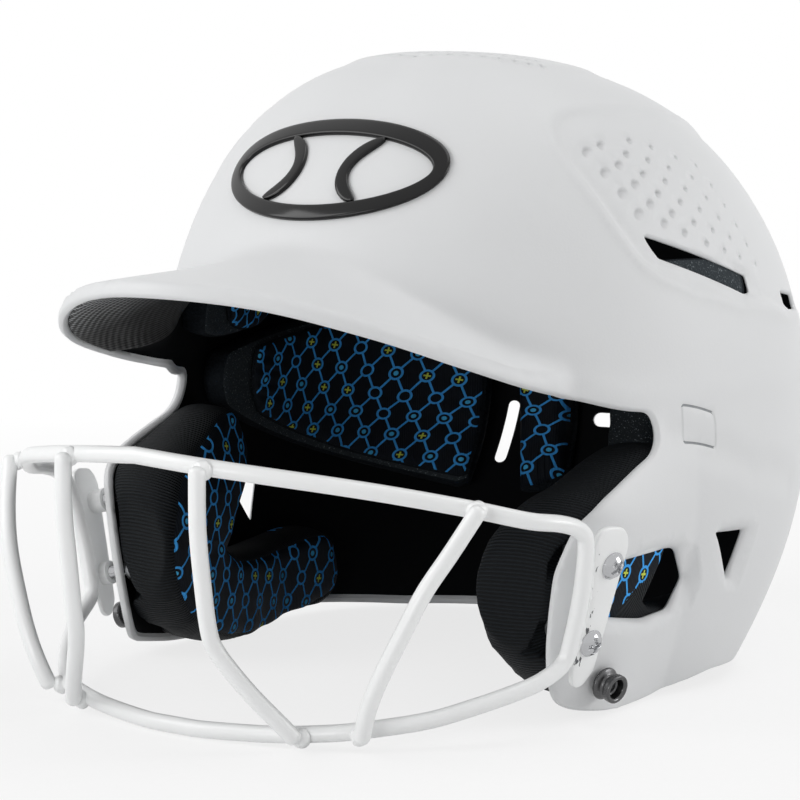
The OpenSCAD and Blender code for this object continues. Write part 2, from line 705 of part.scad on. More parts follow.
module guard_nuts() {
  color("#8f9497")
    both_sides() on_plate() for (h = screw_places)
      translate([nut_x(h) - nut_t, 0, h])
        rotate([0, 90, 0])
          difference() {
            cylinder(d = nut_d, h = nut_t, $fn = 48);
            translate([0, 0, -1]) cylinder(d = screw_d + 0.2, h = nut_t + 2, $fn = 48);
          }
}

// The strap stud: a flange on the shell, a waist and a hollow cap
stud_flange_d = 10.8;
stud_post_d = 4;
stud_back_d = 10;
stud_rise = 1.5;
module strap_stud() {
  cap = stud_cap_d / 2;
  foot = stud_flange_d / 2;
  color("#5a5c5e")
    on_stud()
      rotate_extrude($fn = 64)
        polygon([[0, -wall - 4.2], [stud_post_d / 2, -wall - 4.2], [stud_post_d / 2, stud_rise],
                 [foot - 0.4, stud_rise], [foot, stud_rise + 0.4], [foot, stud_rise + 1.2],
                 [foot - 0.6, stud_rise + 1.6], [cap - 1.2, stud_rise + 2.2], [cap - 1.5, stud_rise + 3.2],
                 [cap - 0.3, stud_rise + 3.8], [cap, stud_rise + 4.4], [cap, stud_h - 0.3],
                 [cap - 0.3, stud_h], [cap - 1.1, stud_h], [cap - 1.7, stud_h - 0.6],
                 [cap - 1.9, stud_h - 3], [0, stud_h - 3]]);
}
module stud_backs() {
  color("#5a5c5e")
    both_sides() on_stud()
      translate([0, 0, -wall - 3.6])
        difference() {
          cylinder(d = stud_back_d, h = 1.6, $fn = 48);
          translate([0, 0, -1]) cylinder(d = stud_post_d + 0.2, h = 4, $fn = 48);
        }
}

module right_side() {
  mirror([1, 0, 0]) children();
}

outer_shell();
brim_liner();
front_badge();
forehead_pad();
crown_pad();
nape_pad();
temple_foam();  // left_temple_foam
right_side() temple_foam();  // right_temple_foam
temple_pad();  // left_temple_pad
right_side() temple_pad();  // right_temple_pad
side_foam();  // left_side_foam
right_side() side_foam();  // right_side_foam
side_pad();  // left_side_pad
right_side() side_pad();  // right_side_pad
rear_pad();  // left_rear_pad
right_side() rear_pad();  // right_rear_pad
ear_pad();  // left_ear_pad
right_side() ear_pad();  // right_ear_pad
guard_rim_wire();
centre_bar();  // guard_left_centre_bar
right_side() centre_bar();  // guard_right_centre_bar
outer_bar();  // guard_left_outer_bar
right_side() outer_bar();  // guard_right_outer_bar
guard_plate();  // guard_left_plate
right_side() guard_plate();  // guard_right_plate
guard_spacers();
guard_screws();
guard_nuts();
strap_stud();  // left_strap_stud
right_side() strap_stud();  // right_strap_stud
stud_backs();
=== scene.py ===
import numpy as np
import bpy
from bpy.props import FloatProperty, FloatVectorProperty, IntProperty, PointerProperty
from mathutils import Matrix, Vector
from mathutils.geometry import delaunay_2d_cdt


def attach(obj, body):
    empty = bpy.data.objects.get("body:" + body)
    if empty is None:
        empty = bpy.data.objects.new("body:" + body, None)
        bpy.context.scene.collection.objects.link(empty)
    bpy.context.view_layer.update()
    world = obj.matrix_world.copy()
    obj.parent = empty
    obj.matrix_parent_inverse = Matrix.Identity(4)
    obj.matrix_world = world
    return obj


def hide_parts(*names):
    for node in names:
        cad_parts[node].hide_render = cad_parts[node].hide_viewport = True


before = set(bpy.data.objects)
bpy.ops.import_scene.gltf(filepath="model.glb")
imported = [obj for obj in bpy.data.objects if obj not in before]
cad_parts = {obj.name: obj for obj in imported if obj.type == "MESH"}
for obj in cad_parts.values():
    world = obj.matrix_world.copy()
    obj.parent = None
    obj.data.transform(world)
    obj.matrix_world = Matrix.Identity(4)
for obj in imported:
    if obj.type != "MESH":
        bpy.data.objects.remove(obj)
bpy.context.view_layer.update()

bl_info = {
    "name": "Batting helmet with face guard",
    "version": (1, 0, 0),
    "blender": (4, 5, 0),
    "location": "3D View > Sidebar > Helmet",
    "description": "Builds the surfaces and finishes of a batting helmet round its packed frame",
    "category": "Object",
}

BODY = "root"
MM = 0.001


def linear(code):
    """An sRGB hex value as a linear colour with alpha."""
    c = np.array([int(code[i:i + 2], 16) for i in (1, 3, 5)]) / 255
    c = np.where(c <= 0.04045, c / 12.92, ((c + 0.055) / 1.055) ** 2.4)
    return tuple(float(v) for v in c) + (1.0,)


# Sizes and colours


def length(label, about, value):
    """A length in millimetres that the sidebar can change."""
    return FloatProperty(name=label, description=about, default=value, unit="NONE", subtype="NONE")


def colour(label, about, code):
    """A colour that the sidebar can change, from its sRGB hex value."""
    return FloatVectorProperty(name=label, description=about, default=linear(code), size=4, min=0, max=1,
                               subtype="COLOR")


class HelmetShellSizes(bpy.types.PropertyGroup):
    """Sizes of the moulded shell, in millimetres."""
    wall: length("Wall", "Thickness of the moulded wall", 3.2)
    edge: length("Edge", "Radius of the rolled edges round every opening", 1.45)
    spacing: length("Spacing", "Distance between points on the smooth parts", 2.5)
    panel: length("Panel depth", "Depth of the side vent panel at its lower border", 1.9)
    dent: length("Dent depth", "Depth of the blind vents", 1.35)
    bevel: length("Bevel", "Depth of the bevels at the edges of the side openings", 2.6)
    crown: length("Crown rise", "How far the crown panel stands proud", 1.0)


class HelmetSoftSizes(bpy.types.PropertyGroup):
    """Sizes of the padding and its cloth, in millimetres."""
    pad: length("Pad", "Thickness of the pads round the head", 15.0)
    gap: length("Gap", "Gap between the pads and the shell", 0.6)
    rib: length("Rib", "Pitch of the ribs in the ear pads' knit", 1.1)
    lattice: length("Lattice", "Pitch of the print's rings", 11.5)
    fold: length("Fold", "Height of the soft waves in the cloth", 0.35)


class HelmetGuardSizes(bpy.types.PropertyGroup):
    """Sizes of the wire guard and its fasteners, in millimetres."""
    wire: length("Wire", "Diameter of the coated wire", 5.4)
    weld: length("Weld", "Half-width of the welds where wires cross", 2.6)
    plate: length("Plate", "Thickness of the mounting plates", 2.0)
    head: length("Screw head", "Diameter of the screws' domed heads", 9.0)
    sides: IntProperty(name="Sides", description="Sides of a wire's section", default=20, min=8, max=48)


class HelmetColours(bpy.types.PropertyGroup):
    """Colours of the finishes."""
    shell: colour("Shell", "Satin moulded shell", "#E4E5E6")
    guard: colour("Guard", "Powder coat of the guard", "#FAFBFB")
    lining: colour("Lining", "Black inside of the shell", "#08090B")
    badge: colour("Badge", "Gloss badge", "#060607")
    cloth: colour("Cloth", "Ground of the printed cloth", "#0A0F16")
    line: colour("Line", "Printed rings and slanting lines", "#4AB0FF")
    bright: colour("Bright", "Printed dots in the rings", "#58CAFF")
    accent: colour("Accent", "Printed plus marks", "#DAE65A")
    knit: colour("Knit", "Ribbed knit", "#0D1013")
    foam: colour("Foam", "Cut foam", "#33393D")
    steel: colour("Steel", "Plated screws", "#B4B5B7")
    stud: colour("Stud", "Dark plated studs", "#575758")


# The shell's own surface

MID_Y = 7.55                      # middle plane of the head
HALF_W, WIDE_Z, CROWN_Z = 108.0, 81.0, 213.5
FRONT_REACH, REAR_REACH = 108.0, 146.0
EGG, SIDE_TUCK, NAPE_TUCK = 25.0, 22.0, 66.0
BRIM_REACH, BRIM_Z, LIP_H, ROOT_H = 150.0, 138.5, 5.0, 8.5
CORNER_Y, CORNER_Z, CHEEK_Y, TEMPLE_REACH = 21.0, 98.0, 66.0, 98.5
CHEEK_Z, DOME_Z, BASE_Z = 64.0, 104.0, -6.0
FULL_F, FULL_S, FULL_R = 1.6, 2.45, 2.35
CHEEK_N, CHEEK_REACH, CHEEK_OUT = 5.0, 77.0, 3.0
LIP = np.array([[0, 1, 1], [14, .87, .93], [28, .74, .72], [41, .57, .46], [52, .26, .26], [64, 0, .12],
                [78, 0, 0], [180, 0, 0]], float)


def blend(x):
    """Smooth step: 3x^2 - 2x^3 between 0 and 1."""
    c = np.clip(x, 0, 1)
    return c * c * (3 - 2 * c)


def mix(a, b, k):
    """The value a share k of the way from a to b."""
    return a + (b - a) * k


def unit(v):
    """Vectors at length 1."""
    return v / np.maximum(np.linalg.norm(v, axis=-1, keepdims=True), 1e-12)


def shell_r(t, z):
    """Radius of the shell's outside at angle t (degrees) and height z: a superellipse plan whose exponent
    goes from 5 at the cheeks to 2 in the dome, times a superellipse profile towards the crown, less a
    tuck that grows with the square of the depth under the widest level."""
    c, s = np.abs(np.cos(np.radians(t))), np.sin(np.radians(t))
    fwd, back = np.maximum(-s, 0), np.maximum(s, 0)
    w = blend((z - CHEEK_Z) / (DOME_Z - CHEEK_Z))
    n = np.where(s < 0, mix(CHEEK_N, 2, w), 2.0)
    half = HALF_W + EGG * (back - fwd * w) + CHEEK_OUT * (1 - w) * fwd
    reach = np.where(s < 0, 1 / mix(1 / CHEEK_REACH, 1 / FRONT_REACH, w), REAR_REACH)
    plan = ((c / half) ** n + (np.abs(s) / reach) ** n) ** (-1 / n)
    p = FULL_F * fwd ** 2 + FULL_S * c ** 2 + FULL_R * back ** 2
    up = np.clip((z - WIDE_Z) / (CROWN_Z - WIDE_Z), 0, 1)
    down = np.maximum(0, (WIDE_Z - z) / 100)
    return plan * (1 - up ** p) ** (1 / p) - (SIDE_TUCK * c ** 2 + NAPE_TUCK * back ** 2) * down ** 2


def lip_share(t, column):
    """A cubic Hermite curve through the lip table, at the angle from the front."""
    f = np.degrees(np.arccos(np.clip(-np.sin(np.radians(t)), -1, 1)))
    x, v = LIP[:, 0], LIP[:, column]
    m = np.zeros(len(x))
    m[1:-1] = (v[2:] - v[:-2]) / (x[2:] - x[:-2])
    i = np.clip(np.searchsorted(x, f, side="right") - 1, 0, len(x) - 2)
    w = x[i + 1] - x[i]
    u = np.clip((f - x[i]) / w, 0, 1)
    return ((2 * u ** 3 - 3 * u ** 2 + 1) * v[i] + (u ** 3 - 2 * u ** 2 + u) * m[i] * w
            + (3 * u ** 2 - 2 * u ** 3) * v[i + 1] + (u ** 3 - u ** 2) * m[i + 1] * w)


def lip_z(t):
    """Height of the brim's lip at angle t, from the brow down to the corner of the opening."""
    return CORNER_Z + (BRIM_Z - CORNER_Z) * lip_share(t, 2)


def overhang(t):
    """How far the brim's lip stands out from the dome, fading to nothing at the temples."""
    f = np.degrees(np.arccos(np.clip(-np.sin(np.radians(t)), -1, 1)))
    out = np.maximum(0, mix(TEMPLE_REACH, BRIM_REACH, lip_share(t, 1)) - shell_r(t, lip_z(t)))
    return np.where(f > 66, 0, out * (1 - blend((f - 58) / 8)))


def place(t, r, z):
    """The point at angle t, radius r and height z."""
    return np.stack([r * np.cos(np.radians(t)), MID_Y + r * np.sin(np.radians(t)), z], -1)


def bell(k, width):
    """Weights of a blur over 2k + 1 points: a bell curve of this width that adds up to 1."""
    taps = np.exp(-0.5 * (np.arange(-k, k + 1) / width) ** 2)
    return taps / taps.sum()


def halve(test, low, high):
    """Where "test" stops being true between low and high, by halving 30 times."""
    for _ in range(30):
        middle = (low + high) / 2
        yes = test(middle)
        low, high = np.where(yes, middle, low), np.where(yes, high, middle)
    return (low + high) / 2


def run_of(p):
    """Distance along a polyline at each of its points."""
    return np.concatenate([[0], np.cumsum(np.linalg.norm(np.diff(p, axis=0), axis=1))])


class ShellSurface:
    """The outside of the shell as a table over the angle t round the head and the arc length s down from
    the crown. Each column is dome, hollow (a cubic Bezier), lip and cheek, resampled evenly."""
    columns, samples = 720, 760
    # points of each part of a column before it is resampled, and the blur's half-width in samples
    dome_rows, hollow_rows, lip_rows, cheek_rows = 300, 80, 14, 220
    blur = 7

    def __init__(self):
        t = np.arange(self.columns) * 360 / self.columns
        tt = t[:, None]
        ze, out = lip_z(t), overhang(t)
        re = shell_r(t, ze) + out
        zr = ze + LIP_H + ROOT_H
        root = np.degrees(np.arcsin((zr - WIDE_Z) / (CROWN_Z - WIDE_Z)))
        a = mix(90, root[:, None], np.linspace(0, 1, self.dome_rows)[None])
        z = WIDE_Z + (CROWN_Z - WIDE_Z) * np.sin(np.radians(a))
        dome = np.stack([shell_r(tt + 0 * z, z), z], -1)
        p0, p3 = np.stack([shell_r(t, zr), zr], -1), np.stack([re, ze + LIP_H], -1)
        d0 = unit(np.stack([shell_r(t, zr - 4) - p0[:, 0], -4 + 0 * t], -1))
        g = np.minimum(1, out / 20)[:, None]
        down = unit(np.stack([shell_r(t, ze) - shell_r(t, ze + 6), -6 + 0 * t], -1))
        d1 = unit(mix(down, np.array([1, -0.08]), g))
        reach = np.linalg.norm(p3 - p0, axis=1)[:, None]
        p1 = p0 + d0 * mix(reach / 3, ROOT_H * 0.8, g)
        p2 = p3 - d1 * reach * mix(1 / 3, 0.5, g)
        u = np.linspace(0, 1, self.hollow_rows)[None, 1:, None]
        hollow = (p0[:, None] * (1 - u) ** 3 + 3 * p1[:, None] * u * (1 - u) ** 2
                  + 3 * p2[:, None] * u ** 2 * (1 - u) + p3[:, None] * u ** 3)
        k = np.linspace(0, 1, self.lip_rows)[None, 1:, None]
        lip = mix(p3[:, None], np.stack([re, ze], -1)[:, None], k)
        k = np.linspace(0, 1, self.cheek_rows)[None, 1:]
        z = mix(ze[:, None], BASE_Z, k)
        cheek = np.stack([shell_r(tt + 0 * z, z) + out[:, None] * (1 - blend(k * 3)), z], -1)
        line = np.concatenate([dome, hollow, lip, cheek], 1)
        step = np.linalg.norm(np.diff(line, axis=1), axis=2)
        run = np.concatenate([np.zeros((len(t), 1)), np.cumsum(step, 1)], 1)
        self.total = run[:, -1]
        rows = np.cumsum([dome.shape[1], hollow.shape[1], lip.shape[1]]) - 1
        self.root, self.roll, self.lip = (run[:, i] for i in rows)
        column = np.arange(len(t))[:, None] * 2.0
        want = (np.linspace(0, 1, self.samples)[None] + column).ravel()
        have = (run / run[:, -1:] + column).ravel()
        even = np.stack([np.interp(want, have, line[..., i].ravel()) for i in (0, 1)], -1)
        even = even.reshape(len(t), self.samples, 2)
        # a small blur along the column rounds the brim's upper and lower corners
        pad = np.pad(even, ((0, 0), (self.blur, self.blur), (0, 0)), mode="edge")
        soft = sum(w * pad[:, i:i + self.samples] for i, w in enumerate(bell(self.blur, 2.6)))
        sample = np.arange(self.samples)
        keep = blend((sample - 12) / 20) * blend((self.samples - 12 - sample) / 12)
        even = mix(even, soft, keep[None, :, None])
        self.t = t
        self.point = place(tt + 0 * even[..., 0], even[..., 0], even[..., 1])
        across = np.roll(self.point, -1, 0) - np.roll(self.point, 1, 0)
        along = np.gradient(self.point, axis=1)
        self.normal = unit(np.cross(along, across))
        self.normal[:, :3] = [0, 0, 1]
        r = np.maximum(even[..., 0], 0.2)
        ds = (self.total / (self.samples - 1))[:, None]
        grow = 2 * ds / (r[:, 1:] + r[:, :-1])
        self.log = np.concatenate([np.log(ds) - 1, np.log(ds), np.log(ds) + np.cumsum(grow[:, 1:], 1)], 1)

    def read(self, table, t, s):
        """Value of a table at (t, s), linear between columns and samples."""
        i = (np.asarray(t) % 360) * self.columns / 360
        i0 = np.floor(i).astype(int) % self.columns
        f = i - np.floor(i)
        value = 0
        for col, w in ((i0, 1 - f), ((i0 + 1) % self.columns, f)):
            k = np.clip(s / self.total[col] * (self.samples - 1), 0, self.samples - 1.001)
            k0 = k.astype(int)
            q = k - k0
            shape = w.shape + (1,) * (table.ndim - 2)
            value = value + w.reshape(shape) * (table[col, k0] * (1 - q).reshape(shape)
                                                + table[col, k0 + 1] * q.reshape(shape))
        return value

    def at(self, t, s):
        """Point of the outside at (t, s)."""
        return self.read(self.point, t, s)

    def facing(self, t, s):
        """Outward normal at (t, s)."""
        return unit(self.read(self.normal, t, s))

    def flat(self, t, s):
        """The table's own conformal map: the plane point at angle t and radius exp(log)."""
        r = np.exp(self.read(self.log, t, s))
        return np.stack([r * np.cos(np.radians(t)), r * np.sin(np.radians(t))], -1)

    def row(self, values, t):
        """A per-column value at the angle t."""
        return np.interp(np.asarray(t) % 360, np.append(self.t, 360), np.append(values, values[0]))

    def lip_s(self, t):
        """Arc length at which a column reaches the brim's lip."""
        return self.row(self.lip, t)

    def s_of(self, t, z, low=None):
        """Arc length at which a column passes the height z, by bisection below "low"."""
        t, z = np.broadcast_arrays(np.asarray(t, float), np.asarray(z, float))
        start = np.zeros(t.shape) if low is None else low + np.zeros(t.shape)
        return halve(lambda s: self.at(t, s)[..., 2] > z, start, self.row(self.total, t))

    def shift(self, t, s, direction, d):
        """(t, s) moved by d along a direction in the surface, from the surface's own metric."""
        pt = (self.at(t + 0.2, s) - self.at(t - 0.2, s)) / 0.4
        ps = (self.at(t, s + 0.5) - self.at(t, s - 0.5))
        e, f, g = (pt * pt).sum(-1), (pt * ps).sum(-1), (ps * ps).sum(-1)
        x, y = (pt * direction).sum(-1), (ps * direction).sum(-1)
        det = np.maximum(e * g - f * f, 1e-9)
        return t + (g * x - f * y) / det * d, s + (e * y - f * x) / det * d


def side_angle(y, z):
    """Angle at which the left side of the shell passes y (from the middle plane) at height z."""
    y, z = np.broadcast_arrays(np.asarray(y, float), np.asarray(z, float))
    return halve(lambda t: shell_r(t, z) * np.sin(np.radians(t)) < y, np.full(y.shape, -85.0),
                 np.full(y.shape, 89.0))


def side_x(y, z):
    """Half-width of the shell's outside at y (from the middle plane) and z."""
    t = side_angle(y, z)
    return shell_r(t, z) * np.cos(np.radians(t))


def resample(p, gap, closed=True):
    """Points at even distances along a polyline, about "gap" apart."""
    q = np.vstack([p, p[:1]]) if closed else p
    run = run_of(q)
    n = max(3, int(round(run[-1] / gap)))
    want = np.linspace(0, run[-1], n, endpoint=False) if closed else np.linspace(0, run[-1], n + 1)
    return np.stack([np.interp(want, run, q[:, i]) for i in range(q.shape[1])], -1)


def round_off(p, gap, radius, closed=True):
    """A polyline resampled finely and blurred, so its corners get about this radius."""
    q = resample(p, gap, closed)
    k = int(np.ceil(radius / gap * 2))
    taps = bell(k, max(radius / gap * 0.75, 0.3))
    if closed:
        return sum(w * np.roll(q, j - k, 0) for j, w in enumerate(taps))
    pad = np.vstack([2 * q[0] - q[1:k + 1][::-1], q, 2 * q[-1] - q[-k - 1:-1][::-1]])
    return sum(w * pad[j:j + len(q)] for j, w in enumerate(taps))


def inside(p, loop):
    """Whether plane points lie in a closed polygon, by crossings of a ray."""
    a, b = loop, np.roll(loop, -1, 0)
    result = np.zeros(len(p), bool)
    for i in range(0, len(p), 4000):
        q = p[i:i + 4000, None]
        up = (a[None, :, 1] > q[..., 1]) != (b[None, :, 1] > q[..., 1])
        rise = np.where(b[:, 1] == a[:, 1], 1, b[:, 1] - a[:, 1])
        x = a[:, 0] + (q[..., 1] - a[:, 1]) * (b[:, 0] - a[:, 0]) / rise
        result[i:i + 4000] = (up & (q[..., 0] < x)).sum(1) % 2 == 1
    return result


def edge_distance(p, line, closed=True):
    """Distance of plane points to a polyline."""
    a = line if closed else line[:-1]
    b = np.roll(line, -1, 0) if closed else line[1:]
    d = b - a
    best = np.full(len(p), 1e9)
    for i in range(0, len(p), 8000):
        v = p[i:i + 8000, None] - a
        u = np.clip((v * d).sum(-1) / np.maximum((d * d).sum(-1), 1e-12), 0, 1)
        best[i:i + 8000] = np.sqrt(((v - u[..., None] * d) ** 2).sum(-1)).min(1)
    return best


def signed(p, loop):
    """Distance to a closed polygon's edge, positive inside."""
    return edge_distance(p, loop) * np.where(inside(p, loop), 1, -1)


def thin(points, kept, cell):
    """Mask of points that aren't in the cells, or next cells, that kept points are in."""
    cells, middle = 4000, 1500

    def number(q):
        return (q[:, 0] * cells + q[:, 1]) * cells + q[:, 2]

    base = np.floor(kept / cell).astype(np.int64) + middle
    steps = np.stack(np.meshgrid(*[[-1, 0, 1]] * 3, indexing="ij"), -1).reshape(-1, 3)
    full = np.unique(number((base[:, None] + steps).reshape(-1, 3)))
    return ~np.isin(number(np.floor(points / cell).astype(np.int64) + middle), full)


# Outlines as y from the middle plane and height, as on the frame
CHEEK_LINE = [[1 - CORNER_Y, CORNER_Z - 1.4], [2 - CORNER_Y, CORNER_Z - 5], [1.2 - CORNER_Y, CORNER_Z - 9.4],
              [-2.6 - CORNER_Y, CORNER_Z - 13.4], [-9.5 - CORNER_Y, CORNER_Z - 15.7], [-41, 78.1],
              [-51, 73.7], [-61, 66.7], [-63.5, 61], [-66, 50.3], [-65.8, 37.3], [-65, 26], [-63.7, 17.4],
              [-61.6, 9.6], [-60, 6.9], [-58.4, 5.7], [-50, 3.3], [-34, 0.9], [-21, 0.4], [-9, 0.4],
              [6, 2.2], [25, 4.4], [35, 3.8], [56, 2.2], [78, 0]]
EAR_HOLE = [[-41, 51.8], [-13, 52.2], [-7.6, 51.2], [0.2, 40], [-6.6, 30], [-23, 29.6], [-45.7, 33.6],
            [-47.7, 39.6]]
EAR_BEVEL = [[-42, 54], [-9, 54.6], [2.1, 51.8], [6.8, 38.6], [3.5, 29], [-13.7, 25.6], [-40, 28.2],
             [-49.6, 33.4], [-50, 41]]
TRIANGLE = [[12, 54], [30, 53], [23, 36.5]]
TRIANGLE_BEVEL = [[9.5, 56], [36, 54.7], [28, 32.6], [21, 33.4]]
SIDE_SLOT = [[-10, 155], [-7, 147.5], [34, 133.4], [38.5, 133.6], [38, 139.4]]
SLOT_BEVEL = [[20, 147.6], [16, 139.6], [41, 130.6], [45.5, 131.2], [44.6, 138]]
REAR_SIDE_SLOT = [[65, 132], [67.5, 125.5], [90, 124], [88, 129]]
# Each opening with its outline's spacing and corner radius, then the two slots at the rear: both ends as
# (x, z), the width and the spacing
HOLES = ((EAR_HOLE, 1.2, 2.0), (TRIANGLE, 1.0, 1.3), (SIDE_SLOT, 1.1, 0.9), (REAR_SIDE_SLOT, 1.1, 0.8))
REAR_SLOTS = (((58.6, 54), (56, 75), 4, 0.9), ((13.5, 70.3), (22, 70.3), 5.6, 1.0))
STAMP = [[-8, 99.2], [6.8, 95.4], [8.7, 83.4], [-7.1, 86.8]]
# The side vent panel and the crown panel, as angle and height
PANEL = [[-17.7, 191.4], [-12.4, 194.3], [2.9, 195], [21.7, 194], [35, 191.5], [50, 186], [62, 172],
         [68, 150], [66, 128], [58, 121.5], [45, 121], [30.6, 124], [14, 130], [2.2, 135.8], [-5.4, 141.3],
         [-9.3, 146.4], [-11.2, 152], [-13.3, 158.4], [-15.5, 166.7], [-18.6, 176], [-19.8, 184]]


def cover(surface, loops, base, extra, cell):
    """Triangles over the surface inside the first loop and outside the others. Each loop is an (n, 2)
    array of (t, s); "extra" are more such points; "base" fills the rest. Delaunay in the conformal map."""
    rings = np.vstack(loops)
    fixed = surface.at(*rings.T)
    extra = extra[thin(surface.at(*extra.T), fixed, cell * 0.3)]
    fixed = np.vstack([fixed, surface.at(*extra.T)])
    loose = np.vstack([extra, base[thin(surface.at(*base.T), fixed, cell)]])
    flat_loops = [surface.flat(*q.T) for q in loops]
    flat = surface.flat(*loose.T)

    def within(q):
        return inside(q, flat_loops[0]) & ~np.any([inside(q, hole) for hole in flat_loops[1:]], axis=0)

    keep = within(flat)
    loose, flat = loose[keep], flat[keep]
    points = np.vstack([rings, loose])
    plane = np.vstack(flat_loops + [flat])
    edges, start = [], 0
    for q in loops:
        i = np.arange(len(q))
        edges.append(np.stack([start + i, start + (i + 1) % len(q)], -1))
        start += len(q)
    corners, _, triangles, sources = delaunay_2d_cdt(
        [Vector(p) for p in plane.tolist()], np.vstack(edges).tolist(), [], 0, 1e-7, True)[:4]
    origin = np.array([source[0] if source else -1 for source in sources])
    if (origin < 0).any() or len(corners) != len(plane):
        raise RuntimeError("The shell's outlines cross, or two of its points meet.")
    tri = origin[np.array(triangles)]
    tri = tri[within(plane[tri].mean(1))]
    a, b, c = (plane[tri[:, i]] for i in range(3))
    turn = (b - a)[:, 0] * (c - a)[:, 1] - (b - a)[:, 1] * (c - a)[:, 0]
    return points, np.where(turn[:, None] < 0, tri[:, ::-1], tri)


# Meshes


def make_piece(name, points, faces, materials, slots, uv=None, face_material=None, soft=None, nodes=()):
    """A mesh object from points in millimetres and arrays of faces, riding on the helmet. It takes the
    place of the frame's nodes. "soft", the share that a pad fills of them, is not used."""
    mesh = bpy.data.meshes.new(name)
    mesh.from_pydata((np.asarray(points) * MM).tolist(), [],
                     [f for part in faces for f in np.asarray(part).tolist()])
    mesh.polygons.foreach_set("use_smooth", np.ones(len(mesh.polygons), bool))
    if face_material is not None:
        mesh.polygons.foreach_set("material_index", np.asarray(face_material, np.int32))
    if uv is not None:
        corner = np.empty(len(mesh.loops), np.int32)
        mesh.loops.foreach_get("vertex_index", corner)
        layer = mesh.uv_layers.new(name="UVMap")
        layer.data.foreach_set("uv", (np.asarray(uv) * MM)[corner].astype(np.float32).ravel())
    mesh.update()
    piece = bpy.data.objects.new(name, mesh)
    bpy.context.scene.collection.objects.link(piece)
    for m in materials:
        mesh.materials.append(m)
    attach(piece, BODY)
    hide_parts(*nodes)


def grid_faces(rows, n, wrap=True, loop=False):
    """Quads over a grid of rows of n points, wrapped along each row, and along the rows if loop."""
    i = np.arange(rows if loop else rows - 1)[:, None]
    j = np.arange(n if wrap else n - 1)[None]
    a, b = i * n + j, i * n + (j + 1) % n
    up = ((i + 1) % rows) * n
    return np.stack([a, b, up + (j + 1) % n, up + j], -1).reshape(-1, 4)


def stacked(parts):
    """Several (points, faces) as one."""
    start = np.cumsum([0] + [len(p) for p, _ in parts])
    return np.vstack([p for p, _ in parts]), [f + k for (_, faces), k in zip(parts, start) for f in faces]


def mirrored(points, faces):
    """The same piece on the other side: x turned round, and each face reversed."""
    return points * np.array([-1, 1, 1]), [f[:, ::-1] for f in faces]


def make_pair(name, points, faces, materials, slots, node, uv=None, shift=(0, 0), **settings):
    """The left piece and its mirror image, whose cloth coordinates are moved by "shift". The braces in
    "name" and "node" stand for the side."""
    for side in ("left", "right"):
        if side == "right":
            points, faces = mirrored(points, faces)
            uv = None if uv is None else uv + np.array(shift)
        make_piece(name.format(side), points, faces, materials, slots, uv=uv, nodes=[node.format(side)],
                   **settings)


# Finishes


def add(tree, kind, links=None, **settings):
    """One shader node with its settings, and its inputs set or linked."""
    node = tree.nodes.new("ShaderNode" + kind)
    for key, value in settings.items():
        setattr(node, key, value)
    for key, value in (links or {}).items():
        if isinstance(value, bpy.types.NodeSocket):
            tree.links.new(value, node.inputs[key])
        else:
            node.inputs[key].default_value = value
    return node


def finish(name, build):
    """A material from build(tree), which returns the shader's inputs, the bump's height and how far in
    metres it stands out. A material of that name is made only once."""
    old = bpy.data.materials.get(name)
    if old:
        return old
    material = bpy.data.materials.new(name)
    material.use_nodes = True
    tree = material.node_tree
    tree.nodes.clear()
    links, height, distance = build(tree)
    bump = add(tree, "Bump", {"Height": height, "Distance": distance, "Strength": 1.0})
    links["Normal"] = bump.outputs[0]
    shader = add(tree, "BsdfPrincipled", links)
    add(tree, "OutputMaterial", {"Surface": shader.outputs[0]})
    return material


def shade(c, k):
    """A colour k times as bright."""
    return tuple(min(1.0, v * k) for v in c[:3]) + (1.0,)


def setting(name):
    """One of the colours that the sidebar can change."""
    return tuple(getattr(bpy.context.scene.helmet_colours, name))


def moulded_abs():
    """Injection-moulded ABS with a fine satin texture: soft broad highlights, the faintest mottling."""
    c = setting("shell")

    def build(tree):
        where = add(tree, "TexCoord").outputs["Object"]
        # mould flow shows as clouds about 40 mm across, a percent or two apart
        cloud = add(tree, "TexNoise", {"Vector": where, "Scale": 25.0, "Detail": 3.0}).outputs[0]
        tint = add(tree, "Mix", {0: cloud, 6: shade(c, 0.965), 7: shade(c, 1.02)}, data_type="RGBA")
        # spark-eroded grain of 0.3 mm, drawn at 0.8 mm so that it shows
        grain = add(tree, "TexNoise", {"Vector": where, "Scale": 1250.0, "Detail": 2.0}).outputs[0]
        rough = add(tree, "MapRange", {0: cloud, 1: 0.3, 2: 0.7, 3: 0.52, 4: 0.6}).outputs[0]
        return {"Base Color": tint.outputs[2], "Roughness": rough, "IOR": 1.53}, grain, 0.00003
    return finish("moulded satin ABS", build)


def grey_ink():
    """Painted shade in the stamp's groove: a thin grey on the groove's faces that stands for the shade there.
    """
    def build(tree):
        where = add(tree, "TexCoord").outputs["Object"]
        # the painted shade is patchy, in spots 2 mm across
        spots = add(tree, "TexNoise", {"Vector": where, "Scale": 500.0, "Detail": 2.0}).outputs[0]
        tint = add(tree, "Mix", {0: spots, 6: linear("#6F7376"), 7: linear("#A6A9AB")},
                   data_type="RGBA")
        return {"Base Color": tint.outputs[2], "Roughness": 0.5}, spots, 0.00002
    return finish("grey stamp paint", build)


def flocked_lining():
    """Black inside of the shell, sprayed dull: almost no light comes back."""
    c = setting("lining")

    def build(tree):
        where = add(tree, "TexCoord").outputs["Object"]
        # overspray specks about 1 mm across
        speck = add(tree, "TexNoise", {"Vector": where, "Scale": 900.0, "Detail": 2.0}).outputs[0]
        tint = add(tree, "Mix", {0: speck, 6: shade(c, 0.8), 7: shade(c, 1.6)}, data_type="RGBA")
        return {"Base Color": tint.outputs[2], "Roughness": 0.85, "Specular IOR Level": 0.1}, speck, 0.00006
    return finish("dull black lining", build)


